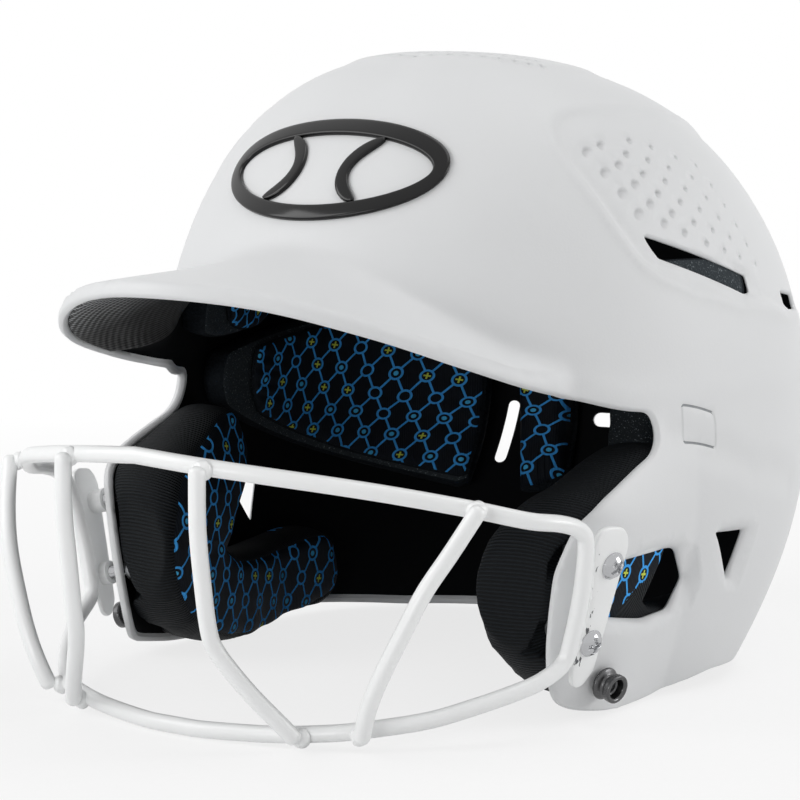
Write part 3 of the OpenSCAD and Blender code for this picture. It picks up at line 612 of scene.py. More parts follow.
def gloss_badge():
    """Black lacquered ABS badge: a mirror-like coat over flat black."""
    c = setting("badge")

    def build(tree):
        where = add(tree, "TexCoord").outputs["Object"]
        # lacquer's slow waves, 12 mm long
        wave = add(tree, "TexNoise", {"Vector": where, "Scale": 80.0, "Detail": 1.0}).outputs[0]
        rough = add(tree, "MapRange", {0: wave, 3: 0.1, 4: 0.2}).outputs[0]
        return {"Base Color": c, "Roughness": rough, "Specular IOR Level": 0.32}, wave, 0.00004
    return finish("black lacquered ABS", build)


def powder_coat():
    """White polyester powder coat baked on steel wire: satin, with slight orange peel."""
    c = setting("guard")

    def build(tree):
        where = add(tree, "TexCoord").outputs["Object"]
        # orange peel cells are about 1.4 mm across, and clouds of thicker coat about 17 mm
        peel = add(tree, "TexNoise", {"Vector": where, "Scale": 700.0, "Detail": 1.0}).outputs[0]
        cloud = add(tree, "TexNoise", {"Vector": where, "Scale": 60.0, "Detail": 2.0}).outputs[0]
        tint = add(tree, "Mix", {0: cloud, 6: shade(c, 0.96), 7: shade(c, 1.02)}, data_type="RGBA")
        return ({"Base Color": tint.outputs[2], "Roughness": 0.33, "IOR": 1.5, "Coat Weight": 0.15,
                 "Coat Roughness": 0.2}, peel, 0.00004)
    return finish("white powder coat", build)


def chipped_coat():
    """White powder coat that has flaked off beside a weld: ragged dark chips of bare steel, 1 to 3 mm
    long."""
    c = setting("guard")

    def build(tree):
        where = add(tree, "TexCoord").outputs["Object"]
        tall = add(tree, "Mapping", {"Vector": where, "Scale": (1, 1, 0.45)}).outputs[0]
        flake = add(tree, "TexNoise", {"Vector": tall, "Scale": 520.0, "Detail": 4.0}).outputs[0]
        bare = add(tree, "MapRange", {0: flake, 1: 0.605, 2: 0.625}).outputs[0]
        tint = add(tree, "Mix", {0: bare, 6: shade(c, 0.98), 7: linear("#55575A")}, data_type="RGBA")
        coat = add(tree, "Math", {0: 1.0, 1: bare}, operation="SUBTRACT").outputs[0]
        return {"Base Color": tint.outputs[2], "Roughness": 0.4}, coat, 0.0001
    return finish("chipped powder coat", build)


def plated(name, c, roughness, scratch):
    """Plated steel: full metal, with fine marks left by the tumbling, "scratch" of them in each metre."""
    def build(tree):
        where = add(tree, "TexCoord").outputs["Object"]
        mark = add(tree, "TexNoise", {"Vector": where, "Scale": scratch, "Detail": 4.0}).outputs[0]
        rough = add(tree, "MapRange", {0: mark, 1: 0.35, 2: 0.7, 3: roughness * 0.8,
                                                 4: roughness * 1.6}).outputs[0]
        return {"Base Color": c, "Metallic": 1.0, "Roughness": rough}, mark, 0.00001
    return finish(name, build)


def black_nickel():
    """Dark plating of the studs and of their backs."""
    return plated("black nickel plate", setting("stud"), 0.28, 700.0)


def cut_foam(name, lift):
    """Closed-cell EVA or EPP foam with a cut face: dark, with pale specks where cells are open."""
    c = setting("foam")

    def build(tree):
        where = add(tree, "TexCoord").outputs["Object"]
        # cells are 0.5 to 1 mm across
        cell = add(tree, "TexVoronoi", {"Vector": where, "Scale": 1100.0}).outputs[0]
        speck = add(tree, "TexNoise", {"Vector": where, "Scale": 1500.0, "Detail": 3.0}).outputs[0]
        pick = add(tree, "MapRange", {0: speck, 1: 0.61, 2: 0.7}).outputs[0]
        tint = add(tree, "Mix", {0: pick, 6: shade(c, lift), 7: linear("#7C8488")}, data_type="RGBA")
        return {"Base Color": tint.outputs[2], "Roughness": 0.8, "Specular IOR Level": 0.15}, cell, 0.00025
    return finish(name, build)


# The print in shares of its pitch: the rows' distance, the rings' radius and half the line's width, the
# dots' radius, and a plus's half-width and reach
PRINT_ROW, RING_R, RING_HALF, DOT_R, PLUS_HALF, PLUS_REACH = 0.8, 0.21, 0.04, 0.085, 0.03, 0.12
# 1.6 times a unit vector square to a slanting line, and 1.6 times half the line's width
SLANT, SLANT_HALF = (1.357, 0.848), 0.06
# shares of the rings that hold a dot or a plus, and the print's turn against the cloth in radians
DOT_SHARE, PLUS_SHARE, PRINT_TURN = 0.42, 0.22, 0.22
# The print's arithmetic from the place u, v in it and each ring's own chance. A row gives the result's name,
# the operation and what it works on
PRINT = (
    # place from the middle of the nearest ring
    ("x", "FRACT", "u", 0), ("x", "SUBTRACT", "x", 0.5), ("x", "ABSOLUTE", "x", 0), ("y", "FRACT", "v", 0),
    ("y", "SUBTRACT", "y", 0.5), ("y", "ABSOLUTE", "y", 0), ("y", "MULTIPLY", "y", PRINT_ROW),
    ("xx", "MULTIPLY", "x", "x"), ("yy", "MULTIPLY", "y", "y"), ("far", "ADD", "xx", "yy"),
    ("far", "SQRT", "far", 0),
    # thin rings
    ("ring", "SUBTRACT", "far", RING_R), ("ring", "ABSOLUTE", "ring", 0),
    ("ring", "LESS_THAN", "ring", RING_HALF),
    # slanting lines run from ring to ring between the rows
    ("fall", "MULTIPLY", "x", SLANT[0]), ("line", "MULTIPLY", "y", SLANT[1]),
    ("line", "SUBTRACT", "line", "fall"), ("line", "ABSOLUTE", "line", 0),
    ("line", "LESS_THAN", "line", SLANT_HALF),
    ("outside", "GREATER_THAN", "far", RING_R), ("line", "MULTIPLY", "line", "outside"),
    ("line", "MAXIMUM", "line", "ring"),
    # dots
    ("dot", "LESS_THAN", "far", DOT_R), ("lucky", "LESS_THAN", "chance", DOT_SHARE),
    ("bright", "MULTIPLY", "dot", "lucky"),
    # plus marks
    ("thin", "MINIMUM", "x", "y"), ("thin", "LESS_THAN", "thin", PLUS_HALF), ("near", "MAXIMUM", "x", "y"),
    ("near", "LESS_THAN", "near", PLUS_REACH), ("plus", "MULTIPLY", "thin", "near"),
    ("lucky", "GREATER_THAN", "chance", 1 - PLUS_SHARE), ("accent", "MULTIPLY", "plus", "lucky"))


def printed_cloth(name, side_view=False):
    """Polyester warp knit with a dye-sublimated print. The print is rows of thin rings, every other row
    moved half a pitch, joined by slanting lines that meet in the middle of each ring; some rings hold a
    bright dot, a few a small green plus. The knit is a fine rib across the cloth."""
    cloth = setting("cloth")
    pitch = bpy.context.scene.helmet_soft.lattice * MM

    def build(tree):
        if side_view:
            split = add(tree, "SeparateXYZ", {0: add(tree, "TexCoord").outputs["Object"]})
            where = add(tree, "CombineXYZ", {0: split.outputs[1], 1: split.outputs[2]}).outputs[0]
        else:
            where = add(tree, "UVMap", uv_map="UVMap").outputs[0]
        # the print is drawn out by the cloth by a few tenths of a millimetre
        drift = add(tree, "TexNoise", {"Vector": where, "Scale": 55.0, "Detail": 1.0})
        bend = add(tree, "VectorMath", {0: drift.outputs["Color"], 1: (0.5, 0.5, 0.5)},
                   operation="SUBTRACT").outputs[0]
        bend = add(tree, "VectorMath", {0: bend, "Scale": 0.0016}, operation="SCALE").outputs[0]
        moved = add(tree, "VectorMath", {0: where, 1: bend}, operation="ADD").outputs[0]
        turned = add(tree, "Mapping", {"Vector": moved, "Rotation": (0, 0, PRINT_TURN),
                                                 "Scale": (1 / pitch, 1 / (pitch * PRINT_ROW), 1)}).outputs[0]
        u, v, _ = add(tree, "SeparateXYZ", {0: turned}).outputs
        row = add(tree, "Math", {0: v}, operation="FLOOR").outputs[0]
        u = add(tree, "Math", {0: row, 1: 0.5, 2: u}, operation="MULTIPLY_ADD").outputs[0]
        column = add(tree, "Math", {0: u}, operation="FLOOR").outputs[0]
        spot = add(tree, "CombineXYZ", {0: column, 1: row, 2: 0.5}).outputs[0]
        chance = add(tree, "TexWhiteNoise", {0: spot}, noise_dimensions="3D").outputs[0]
        value = {"u": u, "v": v, "chance": chance}
        for result, operation, a, b in PRINT:
            links = {0: value.get(a, a), 1: value.get(b, b)}
            value[result] = add(tree, "Math", links, operation=operation).outputs[0]
        # wear in spots 4 mm across
        spots = add(tree, "TexNoise", {"Vector": where, "Scale": 260.0, "Detail": 2.0}).outputs[0]
        fade = add(tree, "MapRange", {0: spots, 1: 0.3, 2: 0.7, 3: 0.85, 4: 1.0}).outputs[0]
        tint = add(tree, "Mix", {0: spots, 6: shade(cloth, 0.6), 7: shade(cloth, 1.5)},
                   data_type="RGBA").outputs[2]
        for ink in ("line", "bright", "accent"):
            mask = add(tree, "Math", {0: value[ink], 1: fade}, operation="MULTIPLY").outputs[0]
            tint = add(tree, "Mix", {0: mask, 6: tint, 7: setting(ink)}, data_type="RGBA").outputs[2]
        # wales of the knit, 0.8 mm apart where real ones are 0.5 mm, so that they show
        wale = add(tree, "TexWave",
                   {"Vector": where, "Scale": 390.0, "Distortion": 1.0, "Detail": 1.0}).outputs[1]
        height = add(tree, "Math", {0: spots, 1: 1.5, 2: wale}, operation="MULTIPLY_ADD").outputs[0]
        return {"Base Color": tint, "Roughness": 0.75, "Specular IOR Level": 0.15}, height, 0.0001
    return finish(name, build)


def ribbed_knit():
    """Elastic rib knit round the ear pads: ribs run across the gusset, with painted sheen on each rib's top
    and painted shade between the ribs.
    """
    c = setting("knit")
    pitch = bpy.context.scene.helmet_soft.rib * MM

    def build(tree):
        where = add(tree, "UVMap", uv_map="UVMap").outputs[0]
        along = add(tree, "SeparateXYZ", {0: where}).outputs[0]
        # the ribs wander a little over each 11 mm
        wander = add(tree, "TexNoise", {"Vector": where, "Scale": 90.0, "Detail": 2.0}).outputs[0]
        wander = add(tree, "Math", {0: wander, 1: 2.0}, operation="MULTIPLY").outputs[0]
        turn = add(tree, "Math", {0: along, 1: 2 * np.pi / pitch, 2: wander},
                   operation="MULTIPLY_ADD").outputs[0]
        rib = add(tree, "Math", {0: turn}, operation="SINE").outputs[0]
        rib = add(tree, "MapRange", {0: rib, 1: -1.0, 2: 1.0}).outputs[0]
        # painted shade in the troughs and painted sheen on the ribs' tops
        tint = add(tree, "Mix", {0: rib, 6: shade(c, 0.25), 7: shade(c, 2.2)}, data_type="RGBA")
        fuzz = add(tree, "TexNoise", {"Vector": where, "Scale": 2200.0, "Detail": 2.0}).outputs[0]
        height = add(tree, "Math", {0: fuzz, 1: 0.5, 2: rib}, operation="MULTIPLY_ADD").outputs[0]
        return {"Base Color": tint.outputs[2], "Roughness": 0.7, "Specular IOR Level": 0.15}, height, 0.0004
    return finish("ribbed elastic knit", build)


def edge_binding():
    """Overlocked edge of the covers: fuzzy black yarn with the stitches about 1.5 mm apart."""
    c = setting("knit")

    def build(tree):
        where = add(tree, "TexCoord").outputs["Object"]
        yarn = add(tree, "TexVoronoi", {"Vector": where, "Scale": 650.0}).outputs[0]
        fuzz = add(tree, "TexNoise", {"Vector": where, "Scale": 2400.0, "Detail": 3.0}).outputs[0]
        tint = add(tree, "Mix", {0: fuzz, 6: shade(c, 0.4), 7: shade(c, 4.5)}, data_type="RGBA")
        height = add(tree, "Math", {0: yarn, 1: 2.0, 2: fuzz}, operation="MULTIPLY_ADD").outputs[0]
        return {"Base Color": tint.outputs[2], "Roughness": 0.85, "Specular IOR Level": 0.1}, height, 0.0003
    return finish("overlocked edge", build)


def brim_cloth():
    """Black twill lining under the brim: two threads cross at 45 degrees, and towards the tip the weave
    carries a painted sheen."""
    def build(tree):
        where = add(tree, "UVMap", uv_map="UVMap").outputs[0]
        along, across, _ = add(tree, "SeparateXYZ", {0: where}).outputs
        # threads 1.5 mm apart, drawn at 3.2 mm so that they show
        turn = 2 * np.pi / 0.0032
        threads = []
        for operation, k in (("ADD", turn), ("SUBTRACT", turn / 2)):
            run = add(tree, "Math", {0: along, 1: across}, operation=operation).outputs[0]
            run = add(tree, "Math", {0: run, 1: k}, operation="MULTIPLY").outputs[0]
            threads.append(add(tree, "Math", {0: run}, operation="SINE").outputs[0])
        weave = add(tree, "Math", {0: threads[0], 1: threads[1]}, operation="MULTIPLY").outputs[0]
        lit = add(tree, "MapRange", {0: weave, 1: 0.05, 2: 0.5}).outputs[0]
        # painted sheen on the weave, growing from 85 to 135 mm in front of the frame's origin
        y = add(tree, "SeparateXYZ", {0: add(tree, "TexCoord").outputs["Object"]}).outputs[1]
        tip = add(tree, "MapRange", {0: y, 1: -0.085, 2: -0.135}).outputs[0]
        # the painted sheen, pale grey on the black threads
        pale = add(tree, "Math", {0: lit, 1: tip}, operation="MULTIPLY").outputs[0]
        tint = add(tree, "Mix", {0: pale, 6: linear("#0A0B0C"), 7: linear("#E2E5E7")},
                   data_type="RGBA")
        return {"Base Color": tint.outputs[2], "Roughness": 0.55, "Specular IOR Level": 0.2}, weave, 0.0002
    return finish("black twill lining", build)


def plain_plastic():
    """Moulded nylon spacers, left dull."""
    c = setting("guard")

    def build(tree):
        where = add(tree, "TexCoord").outputs["Object"]
        # grain about 1 mm across
        grain = add(tree, "TexNoise", {"Vector": where, "Scale": 900.0, "Detail": 2.0}).outputs[0]
        tint = add(tree, "Mix", {0: grain, 6: shade(c, 0.85), 7: shade(c, 0.95)}, data_type="RGBA")
        return {"Base Color": tint.outputs[2], "Roughness": 0.55}, grain, 0.00003
    return finish("moulded nylon", build)


def dress(node, material):
    """A CAD node keeps its shape and gets a finish."""
    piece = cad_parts[node]
    piece.data.materials.clear()
    piece.data.materials.append(material)


# The shell


def side_loop(surface, outline, gap, radius):
    """A closed side-view outline as (t, s) on the left side of the shell."""
    p = round_off(np.array(outline, float), gap, radius)
    t = side_angle(p[:, 0], p[:, 1])
    return np.stack([t, surface.s_of(t, p[:, 1])], -1)


def rear_loop(surface, a, b, d, gap):
    """A slot with round ends through the rear, from its two ends (x, z), as (t, s)."""
    a, b = np.array(a, float), np.array(b, float)
    along = unit(b - a)
    turn = np.arctan2(along[1], along[0])
    arc = np.linspace(-np.pi / 2, np.pi / 2, 9)
    ends = [c + d / 2 * np.stack([np.cos(w), np.sin(w)], -1)
            for c, w in ((b, turn + arc), (a, turn + np.pi + arc))]
    x, z = resample(np.vstack(ends), gap).T
    t = halve(lambda t: shell_r(t, z) * np.cos(np.radians(t)) > x, 0 * x, 0 * x + 90)
    return np.stack([t, surface.s_of(t, z)], -1)


def flip(loop):
    """A (t, s) loop on the other side of the helmet."""
    return np.stack([180 - loop[:, 0], loop[:, 1]], -1)[::-1]


def ring_inside(surface, loop, d, inward):
    """The loop moved by d into the material. "inward" is 1 where the material is to the loop's left."""
    p = surface.at(*loop.T)
    along = unit(np.roll(p, -1, 0) - np.roll(p, 1, 0))
    away = unit(np.cross(surface.facing(*loop.T), along)) * inward
    return np.stack(surface.shift(*loop.T, away, d), -1)


def turning(surface, loop):
    """1 if the loop runs anticlockwise in the flat map, -1 if clockwise."""
    q = surface.flat(*loop.T)
    r = np.roll(q, -1, 0)
    return 1 if (q[:, 0] * r[:, 1] - q[:, 1] * r[:, 0]).sum() > 0 else -1


def azimuth_map(t, s):
    """Plane point at the arc length's distance from the crown, folded to the left side."""
    t = np.radians(t)
    return np.stack([np.abs(s * np.cos(t)), s * np.sin(t)], -1)


def outline_map(surface, outline, by_angle=False):
    """Corners (y, height), or (angle, height), as plane points of azimuth_map."""
    q = np.array(outline, float)
    a = q[:, 0] if by_angle else side_angle(q[:, 0], q[:, 1])
    return azimuth_map(a, surface.s_of(a, q[:, 1]))


# slanting rows of blind vents on the side panel: first angle and height, step, number and radius
VENT_ROWS = [(-12, 181.8, 2.1, -6.7, 4, 2.15), (-7, 183.9, 1.8, -6.4, 5, 1.85),
             (-1.1, 180.9, 1.5, -6.5, 5, 1.6), (4.5, 178.8, 1.4, -6.95, 5, 1.35),
             (9.6, 176, 1.3, -6.95, 5, 1.15), (14.6, 179.4, 0.9, -6.8, 6, 0.95),
             (20.2, 176.5, 0.8, -6.8, 6, 0.85), (2.9, 185.2, 0, 0, 1, 1.4), (8.6, 183, 0, 0, 1, 1.1)]
# half-axes of the crown's curved rows, the middle they share and their vents' spacing in degrees
CROWN_ROWS, CROWN_MIDDLE, CROWN_STEP = ((44, 25), (38, 19), (32, 13)), 16, 8.5
# the blank stamp's groove: depth, half-width, and half-width of the painted shade in it
GROOVE_DEEP, GROOVE_HALF, GROOVE_SHADE_HALF = 0.45, 0.75, 0.46
# a faint step where the forehead turns into the side, as angle and height, and a fold that runs from the
# opening's corner back over the ear, as y and height
BROW_STEP = [[-20.4, 188], [-27, 170], [-34, 148], [-42.4, 130]]
EAR_FOLD = [[-14, 90], [5, 83], [30, 74], [60, 66]]


def dent_places(surface):
    """(t, s, radius) of the blind vents: slanting rows on the side panels that shrink to the rear, and
    three curved rows round the front of the crown."""
    side = np.vstack([np.stack([a + da * np.arange(n), z + dz * np.arange(n), r + 0 * np.arange(n)], -1)
                      for a, z, da, dz, n, r in VENT_ROWS])
    side[:, 1] = surface.s_of(side[:, 0], side[:, 1])
    a = np.radians(np.arange(-68, 69, CROWN_STEP))
    rows = []
    for k, (rx, ry) in enumerate(CROWN_ROWS):
        w = a + (k % 2) * np.radians(CROWN_STEP / 2)
        x, y = rx * np.sin(w), CROWN_MIDDLE - ry * np.cos(w)
        # there the way down the surface is 1.2% longer than its distance in plan
        s, radius = np.hypot(x, y) * 1.012, 0 * x + 1.25 - 0.15 * k
        rows.append(np.stack([np.degrees(np.arctan2(y, x)), s, radius], -1))
    return np.vstack([side, side * [-1, 1, 1] + [180, 0, 0]] + rows)


def relief(surface, t, s, dents, sizes):
    """Depth of every moulded detail below the plain surface, in millimetres, and where the stamp's groove
    gets painted shade."""
    p = azimuth_map(t, s)
    depth = np.zeros(len(t))

    def loop(outline, radius, by_angle=False):
        return round_off(outline_map(surface, outline, by_angle), 1.0, radius)

    def near_line(outline, reach, by_angle=False):
        far = edge_distance(p, outline_map(surface, outline, by_angle), closed=False)
        return blend(1 - far / reach)

    z = surface.at(t, s)[:, 2]
    # side vent panel: deepest at its lower and front border, shallow at its top edge
    fall = mix(0.45, 1, np.clip((193 - z) / 34, 0, 1)) * sizes.panel
    fade = 1 - 0.7 * blend((p[:, 1] - 70) / 60)
    border = signed(p, loop(PANEL, 4, True))
    depth += fall * fade * (blend(border / 3.4) - 0.3 * np.exp(-((border + 1.8) / 1.5) ** 2))
    # bevels that lead into the ear hole, the three-cornered vent and the side slot
    for hole, outer, share in ((EAR_HOLE, EAR_BEVEL, 1), (TRIANGLE, TRIANGLE_BEVEL, 1),
                               (SIDE_SLOT, SLOT_BEVEL, 0.6)):
        far = signed(p, loop(outer, 1.2))
        near = edge_distance(p, loop(hole, 1.0))
        depth += share * sizes.bevel * np.clip(far / np.maximum(far + near, 0.1), 0, 1)
    # the blank stamp: a fine groove round a rounded rectangle
    off = np.abs(signed(p, loop(STAMP, 1.6)))
    depth += GROOVE_DEEP * blend(1 - off / GROOVE_HALF)
    # the groove's middle gets painted shade
    groove_shaded = off < GROOVE_SHADE_HALF
    depth += 0.22 * near_line(BROW_STEP, 2.2, True)
    depth += 0.9 * near_line(EAR_FOLD, 9)
    # the crown panel, an ellipse of 50 by 42 mm half-axes that stands proud
    x, y = s * np.cos(np.radians(t)), s * np.sin(np.radians(t))
    far = 1 - np.sqrt((x / 50) ** 2 + ((y - 22) / 42) ** 2)
    depth -= sizes.crown * blend(far * 40 / 7)
    # blind vents: steep at their upper front, running out to the lower rear
    at = surface.at(t, s)
    centre = surface.at(*dents[:, :2].T)
    for i in range(0, len(t), 6000):
        step = at[i:i + 6000, None] - centre
        far = np.linalg.norm(step, axis=-1) / dents[:, 2]
        nearest = far.argmin(1)
        rows = np.arange(len(nearest))
        step, far, r = step[rows, nearest], far[rows, nearest], dents[nearest, 2]
        lean = np.clip(0.66 + 0.62 * (step[:, 2] - step[:, 1]) / r, 0.1, 1.15)
        depth[i:i + 6000] += sizes.dent * np.minimum(1, r / 1.5) * lean * np.clip((1.08 - far) / 0.26, 0, 1)
    return depth, groove_shaded


RIM_GAP = 1.5                     # distance between points along the shell's lower edge
HOLE_EDGE = 0.75                  # radius of a hole's rolled edge as a share of the rim's
# rings along moulded details: outline, distances from it, whether it's by angle, corner radius and spacing
DETAILS = ((STAMP, (-0.8, -0.4, 0, 0.4, 0.8), False, 1.6, 0.6), (EAR_BEVEL, (-1, 0, 1, 2.2), False, 1.2, 1.4),
           (TRIANGLE_BEVEL, (-1, 0, 1, 2.2), False, 1.2, 1.4), (SLOT_BEVEL, (-1, 0, 1), False, 1.2, 1.4),
           (PANEL, (-3, -1.6, 0, 1.1, 2.2, 3.4), True, 4, 1.4))


def rim_loop(surface):
    """The shell's lower edge as an even loop of (t, s): the brim's lip, the cheek and the edge round the
    back, then their mirror image, all blurred a little."""
    left = round_off(np.array(CHEEK_LINE, float), 0.7, 2.2, closed=False)
    t = side_angle(left[:, 0], left[:, 1])
    # in front of the corner the line is looked for below the lip
    low = np.where(t < -24, surface.lip_s(t) + 1, 0)
    cheek = np.stack([t, surface.s_of(t, left[:, 1], low)], -1)
    back = np.linspace(t[-1], 90, 60)[1:]
    back = np.stack([back, surface.s_of(back, 0.0)], -1)
    front = np.linspace(-90, cheek[0, 0], 260)[:-1]
    lip = np.stack([front, surface.lip_s(front)], -1)
    half = np.vstack([lip, cheek, back])
    rim = np.vstack([half, flip(half)[1:-1]])
    metric = surface.at(*rim.T)
    run = run_of(np.vstack([metric, metric[:1]]))
    t, s = np.vstack([rim, rim[:1]]).T
    want = np.linspace(0, run[-1], int(run[-1] / RIM_GAP), endpoint=False)
    t = np.unwrap(np.interp(want, run, np.unwrap(np.radians(t))))
    rim = np.stack([np.degrees(t), np.interp(want, run, s)], -1)
    k = 4
    total = np.array([360.0 * turning(surface, rim), 0])
    wound = np.vstack([rim[-k:] - total, rim, rim[:k] + total])
    return sum(w * wound[j:j + len(rim)] for j, w in enumerate(bell(k, 1.3)))


def edge_rings(surface, loops, radius):
    """Rings of points that follow each loop into the material: four down the quarter circle of its rolled
    edge and one beyond it. Returns them with their depths, and which are on the rim's own edge."""
    angle = np.radians([22.5, 45, 67.5, 90])
    rings, depth, pale = [], [], []
    for k, q in enumerate(loops):
        way, scale = turning(surface, q) * (1 if k == 0 else -1), 1.0 if k == 0 else HOLE_EDGE
        for d, fall in zip(radius * (1 - np.cos(angle)), radius * (1 - np.sin(angle))):
            rings.append(ring_inside(surface, q, d * scale, way))
            depth.append(np.full(len(q), fall * scale))
        rings.append(ring_inside(surface, q, radius * scale + 1.2, way))
        depth.append(np.zeros(len(q)))
        pale.append(np.arange(5 * len(q)) < (4 * len(q) if k == 0 else 0))
    return np.vstack(rings), np.concatenate(depth), np.concatenate(pale)


def vent_rings(surface, dents):
    """The middle of each blind vent and rings of points round it, out to just past its edge."""
    w = np.radians(np.arange(0, 360, 30))
    t, s, r = dents[:, 0:1], dents[:, 1:2], dents[:, 2:3]
    # distance from the crown's axis, so that the rings are round there too
    far = np.maximum(np.hypot(*(surface.at(*dents[:, :2].T)[:, :2] - [0, MID_Y]).T)[:, None], 4)
    about = []
    for k, share in enumerate((0.0, 0.45, 0.78, 1.0, 1.18)):
        a = w[:1] if share == 0 else w + k * np.radians(15)
        turn = np.degrees(r * share * np.sin(a) / far)
        about.append(np.stack([t + turn, s + r * share * np.cos(a)], -1).reshape(-1, 2))
    return np.vstack(about)


def detail_rings(surface):
    """Rings of points along the edges of the moulded details, on both sides of the shell."""
    detail = []
    for outline, offsets, by_angle, radius, gap in DETAILS:
        line = round_off(outline_map(surface, outline, by_angle), gap, radius)
        q = np.stack([np.degrees(np.arctan2(line[:, 1], line[:, 0])), np.hypot(*line.T)], -1)
        way = turning(surface, q)
        for d in offsets:
            ring = ring_inside(surface, q, d, way)
            detail += [ring, flip(ring)]
    return np.vstack(detail)


def even_points(surface, gap):
    """Points in rows round the whole shell, "gap" apart in each row, and the crown's own point."""
    s = np.arange(gap, surface.total.max(), gap * 0.9)
    at = surface.at(*np.meshgrid(np.linspace(0, 330, 12), s, indexing="ij"))
    radius = np.hypot(at[..., 0], at[..., 1] - MID_Y).mean(0)
    count = np.maximum(6, np.round(2 * np.pi * radius / gap)).astype(int)
    row = np.repeat(np.arange(len(s)), count)
    order = np.arange(len(row)) - np.repeat(np.cumsum(count) - count, count)
    base = np.stack([(order + 0.5 * (row % 2)) * 360 / count[row], s[row]], -1)
    base = base[base[:, 1] < surface.row(surface.total, base[:, 0]) - 1]
    return np.vstack([[[0.0, 0.01]], base])


def build_shell(surface, sizes):
    """The outside's loops, points and triangles, each point's depth down a rolled edge and whether it is
    on the rim's edge, and the blind vents."""
    holes = [side_loop(surface, *hole) for hole in HOLES] + [rear_loop(surface, *slot) for slot in REAR_SLOTS]
    loops = [rim_loop(surface)] + holes + [flip(h) for h in holes]
    rings, ring_depth, pale = edge_rings(surface, loops, sizes.edge)
    dents = dent_places(surface)
    extra = np.vstack([rings, vent_rings(surface, dents)])
    fine = detail_rings(surface)
    fine = fine[thin(surface.at(*fine.T), surface.at(*extra.T), 0.9)]
    base = np.vstack([fine, even_points(surface, sizes.spacing)])
    points, tri = cover(surface, loops, base, extra, 1.25)
    depth, rolled = np.zeros(len(points)), np.zeros(len(points), bool)
    start = 0
    for k, q in enumerate(loops):
        depth[start:start + len(q)] = sizes.edge * (1.0 if k == 0 else HOLE_EDGE)
        start += len(q)

    # the rings' own depths, found again by their (t, s)
    def key(q):
        return np.round(q[:, 0] % 360, 5) * 1e6 + np.round(q[:, 1], 4)

    order = np.argsort(key(rings))
    found = order[np.clip(np.searchsorted(key(rings)[order], key(points)), 0, len(rings) - 1)]
    same = np.isclose(key(rings)[found], key(points), rtol=0, atol=1e-4)
    depth = np.where(same, ring_depth[found], depth)
    rolled = same & pale[found]
    rolled[:len(loops[0])] = True
    return loops, points, tri, depth, rolled, dents


class HELMET_OT_shell(bpy.types.Operator):
    """Moulded outer shell with its brim, vents, rolled edges and black inside."""
    bl_idname = "helmet.shell"
    bl_label = "Outer shell"

    def execute(self, context):
        sizes = context.scene.helmet_shell
        surface = ShellSurface()
        loops, points, tri, edge, rolled, dents = build_shell(surface, sizes)
        t, s = points.T
        at, facing = surface.at(t, s), surface.facing(t, s)
        depth, groove_shaded = relief(surface, t, s, dents, sizes)
        # deep details stop short of the inside, which gives way a little behind them
        low = np.minimum(edge + depth, sizes.wall - 0.15)
        under = np.maximum(sizes.wall - edge, np.minimum(low + 0.3 + 0.15 * depth, sizes.wall + 0.45))
        outer, inner = at - facing * low[:, None], at - facing * under[:, None]
        n = len(points)
        walls, start = [], 0
        for q in loops:
            i = np.arange(len(q))
            a, b = start + i, start + (i + 1) % len(q)
            # each wall runs round its outline so that it faces away from the material
            way = turning(surface, q) * (1 if start == 0 else -1)
            walls.append(np.stack([a, a + n, b + n, b] if way > 0 else [a, b, b + n, a + n], -1))
            start += len(q)
        # inside, the shell's own colour ends just past the rolled edges
        dark = np.where(rolled[tri].any(1), 0, 1)
        # faces in the stamp's groove get the grey of painted shade
        mark = np.concatenate([np.where(groove_shaded[tri].all(1), 2, 0), dark, np.zeros(sum(map(len, walls)))])
        make_piece("shell_moulding", np.vstack([outer, inner]), [tri, tri[:, ::-1] + n] + walls,
                   [moulded_abs(), flocked_lining(), grey_ink()], "shell", face_material=mark,
                   nodes=["outer_shell"])
        return {"FINISHED"}


# Brim, badge and padding


def on_shell(t, z, d):
    """A point d under the shell's outside, square to its profile at angle t and height z."""
    v = unit(np.stack([shell_r(t, z - 2) - shell_r(t, z + 2), -4 + 0 * z], -1))
    return place(t, shell_r(t, z) + v[..., 1] * d, z - v[..., 0] * d)


def front_angle(x, z):
    """Angle at which the front of the shell passes x at height z."""
    x, z = np.broadcast_arrays(np.asarray(x, float), np.asarray(z, float))
    return halve(lambda t: shell_r(t, z) * np.cos(np.radians(t)) < x,
                 np.full(x.shape, 200.0), np.full(x.shape, 340.0))


def closed_ends(points, faces, rows, n):
    """Pole points and triangles that close the first and the last ring of a grid."""
    grid = points.reshape(rows, n, 3)
    poles = np.stack([grid[0].mean(0), grid[-1].mean(0)])
    j = np.arange(n)
    first = np.stack([np.full(n, rows * n), (j + 1) % n, j], -1)
    last = np.stack([np.full(n, rows * n + 1), (rows - 1) * n + j, (rows - 1) * n + (j + 1) % n], -1)
    return np.vstack([points, poles]), [faces, first, last]


# the liner: thickness, space under the shell, its ripples' height and length, and the brim's mean radius
LINER_THICK, LINER_SPACE, RIPPLE, RIPPLE_LONG, BRIM_R = 1.2, 0.42, 0.12, 2.3, 118


